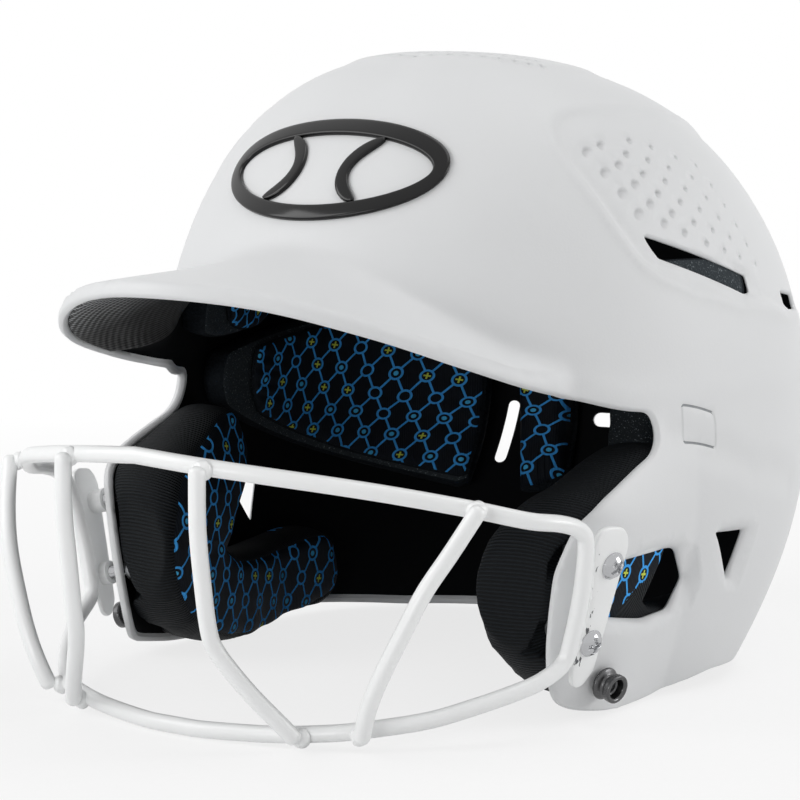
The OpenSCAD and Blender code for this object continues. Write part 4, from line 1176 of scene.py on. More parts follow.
class HELMET_OT_liner(bpy.types.Operator):
    """Black woven liner under the brim."""
    bl_idname = "helmet.liner"
    bl_label = "Brim liner"

    def execute(self, context):
        surface = ShellSurface()
        t = np.arange(220, 320.1, 1.0)[:, None]
        k = np.linspace(0, 1, 34)[None]
        s = mix(surface.row(surface.root, t) + 0.5, surface.row(surface.roll, t) - 2.5, k)
        t = t + 0 * s
        wall = context.scene.helmet_shell.wall
        at, facing = surface.at(t, s), surface.facing(t, s)
        # the free edges are rounded by bringing the lower face up to the upper one
        rows, n = t.shape
        i, j = np.arange(rows)[:, None], np.arange(n)[None]
        edge = np.minimum(np.minimum(i, rows - 1 - i), np.minimum(j, n - 1 - j))
        thick = LINER_THICK * np.sqrt(1 - (1 - np.minimum(edge / 2, 1)) ** 2) + 0.02
        thick = thick + RIPPLE * np.sin(s / RIPPLE_LONG) * np.minimum(edge / 6, 1)
        high = at - facing * (wall + LINER_SPACE)
        low = high - facing * thick[..., None]
        points = np.vstack([low.reshape(-1, 3), high.reshape(-1, 3)])
        quads = grid_faces(rows, n, wrap=False)
        ring = np.concatenate([j[0, :-1], i[:-1, 0] * n + n - 1, (rows - 1) * n + j[0, :0:-1],
                               i[:0:-1, 0] * n])
        after = np.roll(ring, -1)
        m = rows * n
        rim = np.stack([ring, after, after + m, ring + m], -1)
        flat = np.stack([np.radians(t) * BRIM_R, s], -1).reshape(-1, 2)
        faces = turned_right(points - points.mean(0), [quads, quads[:, ::-1] + m, rim[:, ::-1]])
        make_piece("brim_liner_cloth", points, faces, [brim_cloth()], "brim_lining",
                   uv=np.vstack([flat, flat]), nodes=["brim_liner"])
        return {"FINISHED"}


# the badge's middle height, the ring's half-axes and band, and the seam bars' middle, half-axes and band
BADGE_Z, RING_AXES, RING_BAND, SEAM_X, SEAM_AXES, SEAM_BAND = 175, (41.7, 13.7), 4.6, 34, (24, 12.6), 4.14
# a band's section: across as a share of its half-width, and height over the shell
BAND = np.array([[1, 0.12], [1, 0.75], [0.985, 1.1], [0.93, 1.35], [0.84, 1.48], [0.6, 1.54], [0, 1.56],
                 [-0.6, 1.54], [-0.84, 1.48], [-0.93, 1.35], [-0.985, 1.1], [-1, 0.75], [-1, 0.12]])


def badge_band(path, width, loop):
    """A band with a rounded top laid on the shell's front along a path of (x, height from the middle). An
    open one narrows to its ends by the root of 1 - u^4, where u runs from -1 to 1."""
    n = len(path)
    ahead = np.roll(path, -1, 0) if loop else np.vstack([path[1:], path[-1:]])
    behind = np.roll(path, 1, 0) if loop else np.vstack([path[:1], path[:-1]])
    along = unit(ahead - behind)
    half = np.full(n, width / 2)
    if not loop:
        half = half * np.sqrt(np.maximum(0.02, 1 - np.linspace(-1, 1, n) ** 4))
    across, high = BAND.T
    q = across * half[:, None]
    x = path[:, 0:1] - along[:, 1:2] * q
    z = BADGE_Z + path[:, 1:2] + along[:, 0:1] * q
    points = on_shell(front_angle(x, z), z, -high + 0 * x).reshape(-1, 3)
    faces = grid_faces(n, len(BAND), loop=loop)
    return (points, [faces]) if loop else closed_ends(points, faces, n, len(BAND))


class HELMET_OT_badge(bpy.types.Operator):
    """Raised gloss badge on the forehead: a plain oval ring with two seam bars."""
    bl_idname = "helmet.badge"
    bl_label = "Front badge"

    def execute(self, context):
        w = np.radians(np.arange(0, 360, 2.0))
        oval = np.stack([RING_AXES[0] * np.cos(w), RING_AXES[1] * np.sin(w)], -1)
        bands = [badge_band(oval, RING_BAND, True)]
        w = np.radians(np.linspace(-50, 50, 61))
        for side in (-1, 1):
            seam = np.stack([side * (SEAM_X - SEAM_AXES[0] * np.cos(w)), SEAM_AXES[1] * np.sin(w)], -1)
            bands.append(badge_band(seam, SEAM_BAND, False))
        make_piece("forehead_badge", *stacked(bands), [gloss_badge()], "badge", nodes=["front_badge"])
        return {"FINISHED"}


def crown_of(u, v, rim, power=0.35):
    """Share of a pad's thickness at a place of a -1 to 1 square: full in the middle, less at the rim."""
    return rim + (1 - rim) * np.maximum((1 - u ** 4) * (1 - v ** 4), 0) ** power


# rings of points over a cushion's face, down its wall and back under it, and the points in each
FACE_RINGS, WALL_RINGS, BACK_RINGS, AROUND = 26, 5, 7, 112


def cushion(spot, depth, thick, rim, bow, waves):
    """A closed pad. Rings of a rounded square run from the middle of its face (share 0) out to its edge
    (share 1), down its wall and back under it. "spot" turns the square's (u, v, depth) into a point,
    "depth" is the back's depth and "thick" the crown's height over it. Waves are small folds that run
    in from the edge. Returns points, faces and plane coordinates."""
    angle = (np.arange(AROUND) + 0.5) * 2 * np.pi / AROUND
    square = np.stack([np.cos(angle), np.sin(angle)], -1)
    square /= np.abs(square).max(1, keepdims=True)
    share = np.concatenate([np.sin(np.linspace(0.03, np.pi / 2, FACE_RINGS)), np.ones(WALL_RINGS),
                            np.linspace(0.97, 0.03, BACK_RINGS)])
    wall = np.linspace(0.25, 1, WALL_RINGS) * np.pi
    rise = np.concatenate([np.ones(FACE_RINGS), np.cos(wall / 2), np.zeros(BACK_RINGS)])
    bulge = np.concatenate([np.zeros(FACE_RINGS), 0.9 * np.sin(wall), np.zeros(BACK_RINGS)])
    u = share[:, None] * square[None, :, 0]
    v = share[:, None] * square[None, :, 1]
    crown = crown_of(np.clip(u, -1, 1), np.clip(v, -1, 1), rim)
    # 17 folds round the edge, bunched where the second sine says, fading inwards and at the edge itself
    fold = waves * np.sin(angle * 17 + 0.8 * np.sin(angle * 5))[None] * blend((share[:, None] - 0.55) / 0.35)
    fold = fold * blend((1.02 - share[:, None]) / 0.1)
    height = rise[:, None] * (thick * crown + fold)
    c = np.stack([u * np.sqrt(1 - v * v * bow), v * np.sqrt(1 - u * u * bow)], -1)
    points = spot(c[..., 0], c[..., 1], depth + height, bulge[:, None] + 0 * u)
    rows = len(share)
    points, faces = closed_ends(points.reshape(-1, 3), grid_faces(rows, AROUND), rows, AROUND)
    return points, faces, c.reshape(-1, 2)


def shell_cushion(corners, thick, sink, rim, bow, waves):
    """A cushion on the shell's inside whose corners are (angle, height): front low, rear low, rear high,
    front high, with its plane coordinates in millimetres."""
    soft = bpy.context.scene.helmet_soft
    wall = bpy.context.scene.helmet_shell.wall
    corners = np.array(corners, float)

    def tz(u, v):
        a, b = (u[..., None] + 1) / 2, (v[..., None] + 1) / 2
        return mix(mix(corners[0], corners[1], a), mix(corners[3], corners[2], a), b)

    def spot(u, v, depth, bulge):
        at = tz(u, v)
        size = np.maximum(np.hypot(u, v), 0.01)
        t = at[..., 0] + bulge * u / size * 0.5
        z = at[..., 1] + bulge * v / size
        return on_shell(t, z, depth)

    points, faces, plane = cushion(spot, wall + soft.gap + sink, thick, rim, bow, waves)
    # the shell's radius is about 108 mm there, and its profile 3% longer than it is high
    uv = tz(*plane.T) * [np.radians(1) * 108, 1.03]
    return points, faces, np.vstack([uv, uv[:AROUND].mean(0), uv[-AROUND:].mean(0)])


def turned_right(points, faces):
    """Faces reversed if their signed volume is negative, so that they face outwards."""
    volume = 0.0
    for f in faces:
        for k in range(1, f.shape[1] - 1):
            a, b, c = points[f[:, 0]], points[f[:, k]], points[f[:, k + 1]]
            volume += (a * np.cross(b, c)).sum()
    return faces if volume > 0 else [f[:, ::-1] for f in faces]


def lay_cushion(name, build, material, slot, node, fill):
    """A cushion with its edge in overlocked yarn, and its mirror image where the name has braces for the
    side."""
    points, faces, uv = build
    rows = FACE_RINGS + WALL_RINGS + BACK_RINGS
    ring = np.arange((rows - 1) * AROUND) // AROUND
    yarn = (ring >= FACE_RINGS - 3) & (ring < FACE_RINGS + WALL_RINGS)
    mark = np.concatenate([np.where(yarn, 1, 0), np.zeros(2 * AROUND, int)])
    what = name, points, turned_right(points, faces), [material, edge_binding()], slot
    if "{}" in name:
        make_pair(*what, node, uv=uv, shift=(311, 47), face_material=mark, soft=fill)
    else:
        make_piece(*what, nodes=[node], uv=uv, face_material=mark, soft=fill)


# share of a pad's thickness that its foam block has
FOAM_SHARE = 0.7
# the crown pad's half-axes and how far its middle lies behind the head's
CROWN_PAD, CROWN_PAD_Y = (40, 48), 14
# the other pads' corners as (angle, height): front low, rear low, rear high, front high
TEMPLE_FOAM = [[-20, 114], [12, 111.5], [24, 148], [-26, 146]]
SIDE_FOAM = [[-2, 86], [62, 36], [64.5, 123], [-2, 105]]
FOREHEAD_PAD = [[236, 158], [304, 158], [300, 186], [240, 186]]
NAPE_PAD = [[85.6, 30], [94.4, 30], [94.8, 112], [85.2, 112]]
TEMPLE_COVER = [[-4, 116], [12, 114.5], [21, 144], [-10, 143]]
SIDE_COVER = [[9.5, 81], [61.5, 38.5], [64, 121], [9, 106.5]]
REAR_COVER = [[69.5, 38], [77.8, 44], [77.8, 106], [68.5, 108]]


class HELMET_OT_foams(bpy.types.Operator):
    """Cut foam blocks at the temples and sides, and the foam pads at the forehead, crown and nape."""
    bl_idname = "helmet.foams"
    bl_label = "Foam blocks"

    def execute(self, context):
        soft, wall = context.scene.helmet_soft, context.scene.helmet_shell.wall
        speckled, dark = cut_foam("cut closed-cell foam", 1.0), cut_foam("knit-faced foam", 0.55)
        for part, corners, bow in (("temple", TEMPLE_FOAM, 0.28), ("side", SIDE_FOAM, 0.14)):
            block = shell_cushion(corners, soft.pad * FOAM_SHARE, 0, 0.8, bow, 0.0)
            lay_cushion("{}_%s_block" % part, block, speckled, "speckled_foam", "{}_%s_foam" % part, 0.9)
        for part, corners in (("forehead", FOREHEAD_PAD), ("nape", NAPE_PAD)):
            pad = shell_cushion(corners, soft.pad, 0, 0.35, 0.28, soft.fold)
            lay_cushion(part + "_cushion", pad, dark, "dark_foam", part + "_pad", 0.7)

        def spot(u, v, depth, bulge):
            size = np.maximum(np.hypot(u, v), 0.01)
            x = CROWN_PAD[0] * u + bulge * u / size
            y = CROWN_PAD_Y + CROWN_PAD[1] * v + bulge * v / size
            t = np.degrees(np.arctan2(y, x))
            top = halve(lambda z: shell_r(t, z) > np.hypot(x, y), np.full(x.shape, 100.0),
                        np.full(x.shape, CROWN_Z))
            return np.stack([x, MID_Y + y, top - depth], -1)

        points, faces, plane = cushion(spot, wall + 1.4, soft.pad, 0.35, 0.45, soft.fold)
        uv = np.vstack([plane * CROWN_PAD, np.zeros((2, 2))])
        lay_cushion("crown_cushion", (points, faces, uv), dark, "dark_foam", "crown_pad", 0.7)
        return {"FINISHED"}


class HELMET_OT_covers(bpy.types.Operator):
    """Printed cloth pads at the temples, sides and rear."""
    bl_idname = "helmet.covers"
    bl_label = "Printed pads"

    def execute(self, context):
        soft = context.scene.helmet_soft
        foam = soft.pad * FOAM_SHARE
        cloth = printed_cloth("printed warp knit")
        # the first two lie on their foam blocks, the rear one on the shell
        for part, corners, thick, sink, rim, bow in (
                ("temple", TEMPLE_COVER, soft.pad - foam, foam + 0.4, 0.3, 0.28),
                ("side", SIDE_COVER, soft.pad - foam, foam + 0.4, 0.3, 0.14),
                ("rear", REAR_COVER, soft.pad, 0, 0.35, 0.12)):
            pad = shell_cushion(corners, thick, sink, rim, bow, soft.fold)
            lay_cushion("{}_%s_cover" % part, pad, cloth, "printed_cloth", "{}_%s_pad" % part, 0.6)
        return {"FINISHED"}


def catmull(p, k):
    """A Catmull-Rom curve through points, with k steps in each span."""
    p = np.asarray(p, float)
    q = np.vstack([2 * p[:1] - p[1:2], p, 2 * p[-1:] - p[-2:-1]])
    u = (np.arange(k) / k)[None, :, None]
    a, b, c, d = (q[i:len(q) - 3 + i][:, None] for i in range(4))
    out = 0.5 * (2 * b + (c - a) * u + (2 * a - 5 * b + 4 * c - d) * u ** 2
                 + (3 * b - a - 3 * c + d) * u ** 3)
    return np.vstack([out.reshape(-1, p.shape[1]), p[-1:]])


def at_run(p, s):
    """Points of a polyline at distances s along it."""
    run = run_of(p)
    return np.stack([np.interp(s, run, p[:, i]) for i in range(p.shape[1])], -1)


# the ear pad's middle line as y, height and half-width, from its upper end round the front to its lower one
EAR_LINE = [[-4, 78, 10], [-16, 72, 14], [-30, 59, 20.5], [-40, 50, 24], [-45, 42, 23], [-40, 29, 20],
            [-25, 19, 16], [-6, 15.5, 15], [18, 16, 15], [38, 19, 14], [52, 21, 12]]
# its section: across as a share of the half-width, and inwards as a share of the thickness
EAR_SECTION = [[-1.04, 0], [0, 0], [1.04, 0], [1.12, 0.3], [1.08, 0.62], [0.95, 0.86], [0.72, 0.97], [0, 1],
               [-0.72, 0.97], [-0.95, 0.86], [-1.08, 0.62], [-1.12, 0.3]]

# its least height against the distance behind the middle plane
EAR_FLOOR = ([-30, -8, 2.5, 12.5, 22.5, 32.5, 42.5, 52.5], [1.6, 2.0, 3.0, 4.2, 5.4, 5.5, 4.8, 4.0])
# length of its rounded ends
EAR_END = 14
# (y, height) of the two nuts and of the stud's back, and the depth and radius of the hollows over them
BACKS, HOLLOW_DEEP, HOLLOW_R = ((-57.5, 53), (-59.5, 28), (-45.5, 13)), 6, 7.4
# shares of the section where the printed face ends and where its seam stands out
SEAM_AT, SEAM_HIGH = 0.86, 0.7


class HELMET_OT_ear_pads(bpy.types.Operator):
    """Curved ear pads with a printed face and a ribbed knit gusset."""
    bl_idname = "helmet.ear_pads"
    bl_label = "Ear pads"

    def execute(self, context):
        soft, wall = context.scene.helmet_soft, context.scene.helmet_shell.wall
        line = catmull(EAR_LINE, 24)
        run = run_of(line[:, :2])
        length = run[-1]

        def at(s):
            return np.stack([np.interp(s, run, column) for column in line.T], -1)

        # rings close together at the ends, where the pad rounds off
        w = np.linspace(0, 1, 12) ** 1.6 * EAR_END
        s = np.concatenate([w, np.arange(EAR_END + 1.5, length - EAR_END - 1, 1.5), length - w[::-1]])
        mid = at(s)
        along = unit((at(np.minimum(s + 3, length)) - at(np.maximum(s - 3, 0)))[:, :2])
        end = np.minimum(np.minimum(s, length - s) / EAR_END, 1)
        tip = 0.3 + 0.7 * (1 - (1 - end) ** 2.6) ** (1 / 2.6)
        section = round_off(np.array(EAR_SECTION, float) * [1, 0.9], 0.045, 0.11)
        section[:, 1] = np.clip(section[:, 1] / 0.9, 0, None) / (section[:, 1].max() / 0.9)
        m = len(section)
        q0, q1 = section[None, :, 0], section[None, :, 1]
        # inside its bends the pad reaches no further than the bend's own centre
        bend = np.gradient(np.unwrap(np.arctan2(along[:, 1], along[:, 0])), s)
        bend = np.convolve(np.pad(bend, 4, mode="edge"), np.full(9, 1 / 9), "valid")
        room = 0.9 / np.maximum(np.abs(bend), 0.01)[:, None]
        reach = np.abs(q0) * mid[:, 2:3] * tip[:, None]
        reach = np.where(q0 * bend[:, None] < 0, reach * room / (reach ** 4 + room ** 4) ** 0.25, reach)
        y = mid[:, 0:1] + along[:, 1:2] * np.sign(q0) * reach
        z = mid[:, 1:2] - along[:, 0:1] * np.sign(q0) * reach
        y = np.maximum(-CHEEK_Y + mix(1.9, -2.8, q1), y)
        # the lower arm ends above the shell's edge, which rises behind the cheek
        z = np.maximum(np.interp(y, *EAR_FLOOR), z)
        # inner side of the shell, 1.2 mm clear, and further in over the nuts and the studs' backs
        slope_y = (side_x(y + 1, z) - side_x(y - 1, z)) / 2
        slope_z = (side_x(y, z + 1) - side_x(y, z - 1)) / 2
        x0 = side_x(y, z) - (wall + 0.7) * np.sqrt(1 + slope_y ** 2 + slope_z ** 2)
        for back_y, back_z in BACKS:
            near = np.hypot(y - back_y, z - back_z)
            x0 = x0 - HOLLOW_DEEP * blend((HOLLOW_R - near) / 1.8) * blend((y + 64.6) / 2.4)
        x1 = np.minimum(82, 62 + 0.24 * (y + 66)) + 5 * blend((z - 58) / 22)
        x = mix(x0, x1, q1 * (0.6 + 0.4 * tip[:, None]))
        # the knit swells between its seams, with small puckers at the seam
        round_s = np.cumsum(np.linalg.norm(section - np.roll(section, 1, 0), axis=1))
        wave = np.sin(s[:, None] / 2.7 + 0.6 * np.sin(s[:, None] / 9))
        pucker = soft.fold * wave * blend(1 - np.abs(q1 - 0.9) / 0.25)
        x = x - pucker * (q1 > 0.2)
        seam = blend(1 - np.abs(np.abs(q0) - SEAM_AT) / 0.05) * (q1 > 0.8)
        x = x + SEAM_HIGH * seam
        points = np.stack([x, MID_Y + y, z], -1)
        rows = len(s)
        pts, faces = closed_ends(points.reshape(-1, 3), grid_faces(rows, m), rows, m)
        # the ribs are even along each side's own gusset, so u is the arc length there
        steps = np.linalg.norm(np.diff(points, axis=0), axis=-1)
        gusset = (section[:, 1] > 0.2) & (section[:, 1] < 0.99)
        u = np.zeros((rows, m))
        for side in (section[:, 0] > 0, section[:, 0] <= 0):
            u[1:, side] = np.cumsum(steps[:, side & gusset].mean(1))[:, None]
        uv = np.stack([u, round_s[None] * 22 + 0 * u], -1).reshape(-1, 2)
        uv = np.vstack([uv, uv[0], uv[-1]])
        across, deep = np.tile(section, (rows - 1, 1)).T
        face = (np.abs(across) < SEAM_AT) & (deep > 0.8)
        # the printed cloth is also what shows of the back, above a curved seam
        back_y, back_z = pts[:(rows - 1) * m, 1] - MID_Y, pts[:(rows - 1) * m, 2]
        above = (back_z > 46 - 0.012 * (back_y + 8) ** 2) & (back_z < 63)
        face |= (deep < 0.3) & above & (back_y > -44)
        mark = np.concatenate([np.where(face, 1, 0), np.zeros(2 * m, int)])
        finishes = [ribbed_knit(), printed_cloth("printed ear cloth", side_view=True)]
        make_pair("{}_ear_cushion", pts, turned_right(pts, faces), finishes, "ear_knit", "{}_ear_pad", uv=uv,
                  face_material=mark, soft=0.8)
        return {"FINISHED"}


# Guard and fasteners

# the left plate's place and its turns about x, y and z
PLATE_PLACE = np.array([111.4, -50.25, 53.7])
PLATE_TURN = np.radians([-7.7, 13.5, -12])
# the rim's way along the plate as (y, height) in the plate's frame
RIM_ON_PLATE = [[-13.6, 6], [-9.6, -10], [-8.1, -25], [-8.8, -33]]
# the guard's foremost y at its top and at its bottom run, and those runs' heights
RIM_Y, LOW_Y, LOW_Z, TOP_Z = -145.25, -131.05, 2.9, 88.5
# the screws' heights in the plate's frame
SCREWS = (0.0, -26.0)


def rotated(p, angles):
    """Points turned about x, then y, then z, by angles in radians."""
    a, b, c = angles
    x, y, z = p[..., 0], p[..., 1], p[..., 2]
    y, z = y * np.cos(a) - z * np.sin(a), y * np.sin(a) + z * np.cos(a)
    x, z = x * np.cos(b) + z * np.sin(b), z * np.cos(b) - x * np.sin(b)
    x, y = x * np.cos(c) - y * np.sin(c), x * np.sin(c) + y * np.cos(c)
    return np.stack([x, y, z], -1)


def on_plate(p):
    """Points of the left mounting plate's frame, moved to where the plate is."""
    return rotated(p, PLATE_TURN) + PLATE_PLACE


def top_run(k):
    """y at share k of the way from the guard's top run to the plate."""
    return mix(RIM_Y, PLATE_PLACE[1], k)


def low_run(k):
    """y at share k of the way from the guard's bottom run to the plate."""
    return mix(LOW_Y, PLATE_PLACE[1], k)


def rim_line():
    """The rim's loop: its left half through the same places as the frame's, and the mirror image."""
    plate = on_plate(np.array([[-1, p[0], p[1]] for p in RIM_ON_PLATE], float))
    half = np.vstack([
        [[0, top_run(-0.028), TOP_Z + 2], [27.6, RIM_Y, TOP_Z], [62, top_run(0.192), TOP_Z - 4.9],
         [78, top_run(0.32), TOP_Z - 8.2], [93.6, top_run(0.484), TOP_Z - 12.7],
         [104.5, top_run(0.619), TOP_Z - 16.7], [108.6, top_run(0.735), TOP_Z - 18.6],
         [110, top_run(0.825), TOP_Z - 21.6]], plate,
        [[97.6, low_run(0.762), LOW_Z + 15.7], [93.4, low_run(0.656), LOW_Z + 12.9],
         [86, low_run(0.527), LOW_Z + 9.5], [76, low_run(0.374), LOW_Z + 5.9],
         [61, low_run(0.203), LOW_Z + 3.4],
         [50.6, low_run(0.134), LOW_Z + 2.1], [35, low_run(0.073), LOW_Z + 0.7], [12.5, low_run(0.01), LOW_Z],
         [0, LOW_Y, LOW_Z]]])
    half = catmull(half, 8)
    return np.vstack([half, (half * [-1, 1, 1])[-2:0:-1]])


def bar_lines():
    """The left centre bar and the left outer bar."""
    bar, low = RIM_Y - 5.5, LOW_Y - 5.5
    centre = np.array([[0, bar, TOP_Z + 1.1], [0, bar, TOP_Z - 17.5], [0, bar + 1.8, TOP_Z - 33.5],
                       [0.4, bar + 4.1, TOP_Z - 49.5], [1.5, bar + 6.2, TOP_Z - 56],
                       [5.2, low - 4.3, LOW_Z + 22.1],
                       [10.2, low + 0.1, LOW_Z + 14.1], [16.4, low + 5.9, LOW_Z + 5.1],
                       [19.2, low + 9, LOW_Z + 0.4]]) + [27.6, 0, 0]
    outer = np.array([[94.6, top_run(0.49), TOP_Z - 10.9], [88.8, top_run(0.412), TOP_Z - 24.5],
                      [83.2, top_run(0.355), TOP_Z - 35.8], [78.4, top_run(0.3255), TOP_Z - 46.5],
                      [70.8, low_run(0.172), LOW_Z + 23], [65.8, low_run(0.17), LOW_Z + 12],
                      [61.4, low_run(0.197), LOW_Z + 1.2]]) + 5.5 * np.array([0.66, -0.75, 0])
    return catmull(centre, 10), catmull(outer, 10)


def tube(path, radius, sides, loop=False):
    """A circle carried along a path, square to it and turned to a fixed inner point. An open tube's ends
    are rounded over by drawing the last rings in along a quarter circle."""
    core = np.array([0, -40, 45.0])
    if loop:
        p = resample(path, 1.6)
        ahead, behind = np.roll(p, -1, 0), np.roll(p, 1, 0)
        size = np.full(len(p), radius)
    else:
        total = run_of(path)[-1]
        turn = np.radians([0, 18, 36, 54, 72, 90])
        end = 0.8 * radius * (1 - np.cos(turn))
        middle = np.linspace(0.8 * radius, total - 0.8 * radius, int(total / 1.6))[1:-1]
        s = np.concatenate([end, middle, total - end[::-1]])
        p = at_run(path, s)
        ahead, behind = at_run(path, np.minimum(s + 0.8, total)), at_run(path, np.maximum(s - 0.8, 0))
        shape = radius * (0.2 + 0.8 * np.sin(turn))
        size = np.concatenate([shape, np.full(len(middle), radius), shape[::-1]])
    t = unit(ahead - behind)
    a = unit(np.cross(t, p - core))
    b = np.cross(t, a)
    w = np.arange(sides) * 2 * np.pi / sides
    ring = a[:, None] * np.cos(w)[None, :, None] - b[:, None] * np.sin(w)[None, :, None]
    points = (p[:, None] + ring * size[:, None, None]).reshape(-1, 3)
    faces = grid_faces(len(p), sides, loop=loop)
    return (points, [faces]) if loop else closed_ends(points, faces, len(p), sides)


def weld(a, b, high, size):
    """A flattened ball where two wires pass each other, in the upper or the lower half."""
    a, b = (q[(q[:, 2] > 45) == high] for q in (a, b))
    gap = np.linalg.norm(a[:, None] - b[None], axis=-1)
    i, j = np.unravel_index(gap.argmin(), gap.shape)
    across = unit(b[j] - a[i])
    along = unit(np.cross(across, [0.3, 0.1, 1.0]))
    up = np.cross(along, across)
    phi = np.radians(np.linspace(8, 172, 15))[:, None]
    th = (np.arange(24) * 2 * np.pi / 24)[None]
    lump = 1 + 0.06 * np.sin(3 * th + 5 * phi)
    p = ((a[i] + b[j]) / 2 + (across * (0.95 * size * np.cos(phi) + 0 * th)[..., None])
         + along * (1.22 * size * lump * np.sin(phi) * np.cos(th))[..., None]
         + up * (1.22 * size * lump * np.sin(phi) * np.sin(th))[..., None])
    return closed_ends(p.reshape(-1, 3), grid_faces(15, 24), 15, 24)


def join(parts):
    """Several (points, faces) as one, each turned outwards."""
    return stacked([(p, turned_right(p - p.mean(0), f)) for p, f in parts])


class HELMET_OT_wires(bpy.types.Operator):
    """Coated wires of the face guard with the welds where they cross."""
    bl_idname = "helmet.wires"
    bl_label = "Guard wires"

    def execute(self, context):
        sizes = context.scene.helmet_guard
        r, n = sizes.wire / 2, sizes.sides
        coat = [powder_coat()]
        rim = rim_line()
        centre, outer = bar_lines()
        parts = [tube(rim, r, n, loop=True)]
        for bar in (centre, outer):
            for side in (1, -1):
                for high in (True, False):
                    parts.append(weld(rim, bar * [side, 1, 1], high, sizes.weld))
        # a lumpy bead runs down the joint between the rim and each plate
        bead = np.array([[-1, p[0] + 3.1, p[1]] for p in RIM_ON_PLATE], float)
        bead[0, 2] -= 2
        bead[-1, 2] += 2
        bead = resample(catmull(bead, 8), 0.7, closed=False)
        s = run_of(bead)
        end = np.sqrt(np.clip(np.minimum(s, s[-1] - s) / 2, 0.02, 1))
        size = (1.35 + 0.22 * np.sin(s * 1.9) * np.sin(s * 0.7)) * end
        w = np.arange(14) * 2 * np.pi / 14
        ring = np.stack([np.cos(w), np.sin(w), 0 * w], -1)[None] * size[:, None, None] * [1.0, 0.95, 1]
        points = on_plate(bead[:, None] + ring).reshape(-1, 3)
        one = closed_ends(points, grid_faces(len(bead), 14), len(bead), 14)
        parts += [one, mirrored(*one)]
        make_piece("guard_rim", *join(parts), coat, "guard_coating", nodes=["guard_rim_wire"])
        for kind, line in (("centre", centre), ("outer", outer)):
            make_pair("guard_{}_%s_wire" % kind, *join([tube(line, r, n)]), coat, "guard_coating",
                      "guard_{}_%s_bar" % kind)
        return {"FINISHED"}


# distance of a plate's edge from the rim's middle, the plate's top and its height, in its own frame
PLATE_BESIDE, PLATE_TOP, PLATE_HIGH = 3.4, 12.5, 54


class HELMET_OT_plates(bpy.types.Operator):
    """Mounting plates of the guard, with rounded edges."""
    bl_idname = "helmet.plates"
    bl_label = "Mounting plates"

    def execute(self, context):
        thick = context.scene.helmet_guard.plate
        # its front edge lies beside the rim's wire
        front = [[y + PLATE_BESIDE, z] for y, z in RIM_ON_PLATE]
        foot = PLATE_TOP - PLATE_HIGH
        outline = front + [
            [-3.4, foot + 1.6], [-0.8, foot], [2, foot + 1.2], [5, foot + 6], [5, 6.5], [3.4, 10.1],
            [0.6, PLATE_TOP], [-6.2, PLATE_TOP], [-9.6, 10.9]]
        edge = round_off(np.array(outline, float), 0.7, 1.2)
        # a line down the plate's middle that every ring shrinks to
        core = np.stack([np.interp(edge[:, 1], [-36, 7], [0.2, -2.5]), np.clip(edge[:, 1], -36, 7)], -1)
        away = unit(core - edge)
        rows = []
        for inset, x in ((99, -thick), (3, -thick), (0.5, -thick), (0.15, -thick + 0.15), (0, -thick + 0.5),
                         (0, -0.5), (0.15, -0.15), (0.5, 0), (3, 0), (99, 0)):
            p = edge + away * np.minimum(inset, np.linalg.norm(core - edge, axis=1) - 0.02)[:, None]
            rows.append(np.column_stack([np.full(len(p), x), p]))
        points = np.array(rows)
        n = len(edge)
        # along the rim's weld the coat is chipped
        by_weld = edge_distance(edge, np.array(front), closed=False) < 0.3
        row, place_in = np.divmod(np.arange((len(rows) - 1) * n), n)
        chipped = (row > 3) & (row < 8) & by_weld[place_in]
        mark = np.concatenate([np.where(chipped, 1, 0), np.zeros(2 * n, int)])
        points, faces = closed_ends(on_plate(points).reshape(-1, 3), grid_faces(len(rows), n), len(rows), n)
        faces = turned_right(points - points.mean(0), faces)
        make_pair("guard_{}_mount", points, faces, [powder_coat(), chipped_coat()], "guard_coating",
                  "guard_{}_plate", face_material=mark)
        return {"FINISHED"}


def turned(profile, sides, dish=None):
    """A profile of (radius, height) turned about the height axis; "dish" lowers points by a function of
    their place. Returned with height as x, as on a plate."""
    w = np.arange(sides) * 2 * np.pi / sides
    r, h = profile[:, 0:1], profile[:, 1:2]
    y, z = r * np.cos(w)[None], r * np.sin(w)[None]
    x = h + 0 * y
    if dish is not None:
        x = x - dish(y, z, x)
    points = np.stack([x, y, z], -1).reshape(-1, 3)
    return closed_ends(points, grid_faces(len(profile), sides), len(profile), sides)


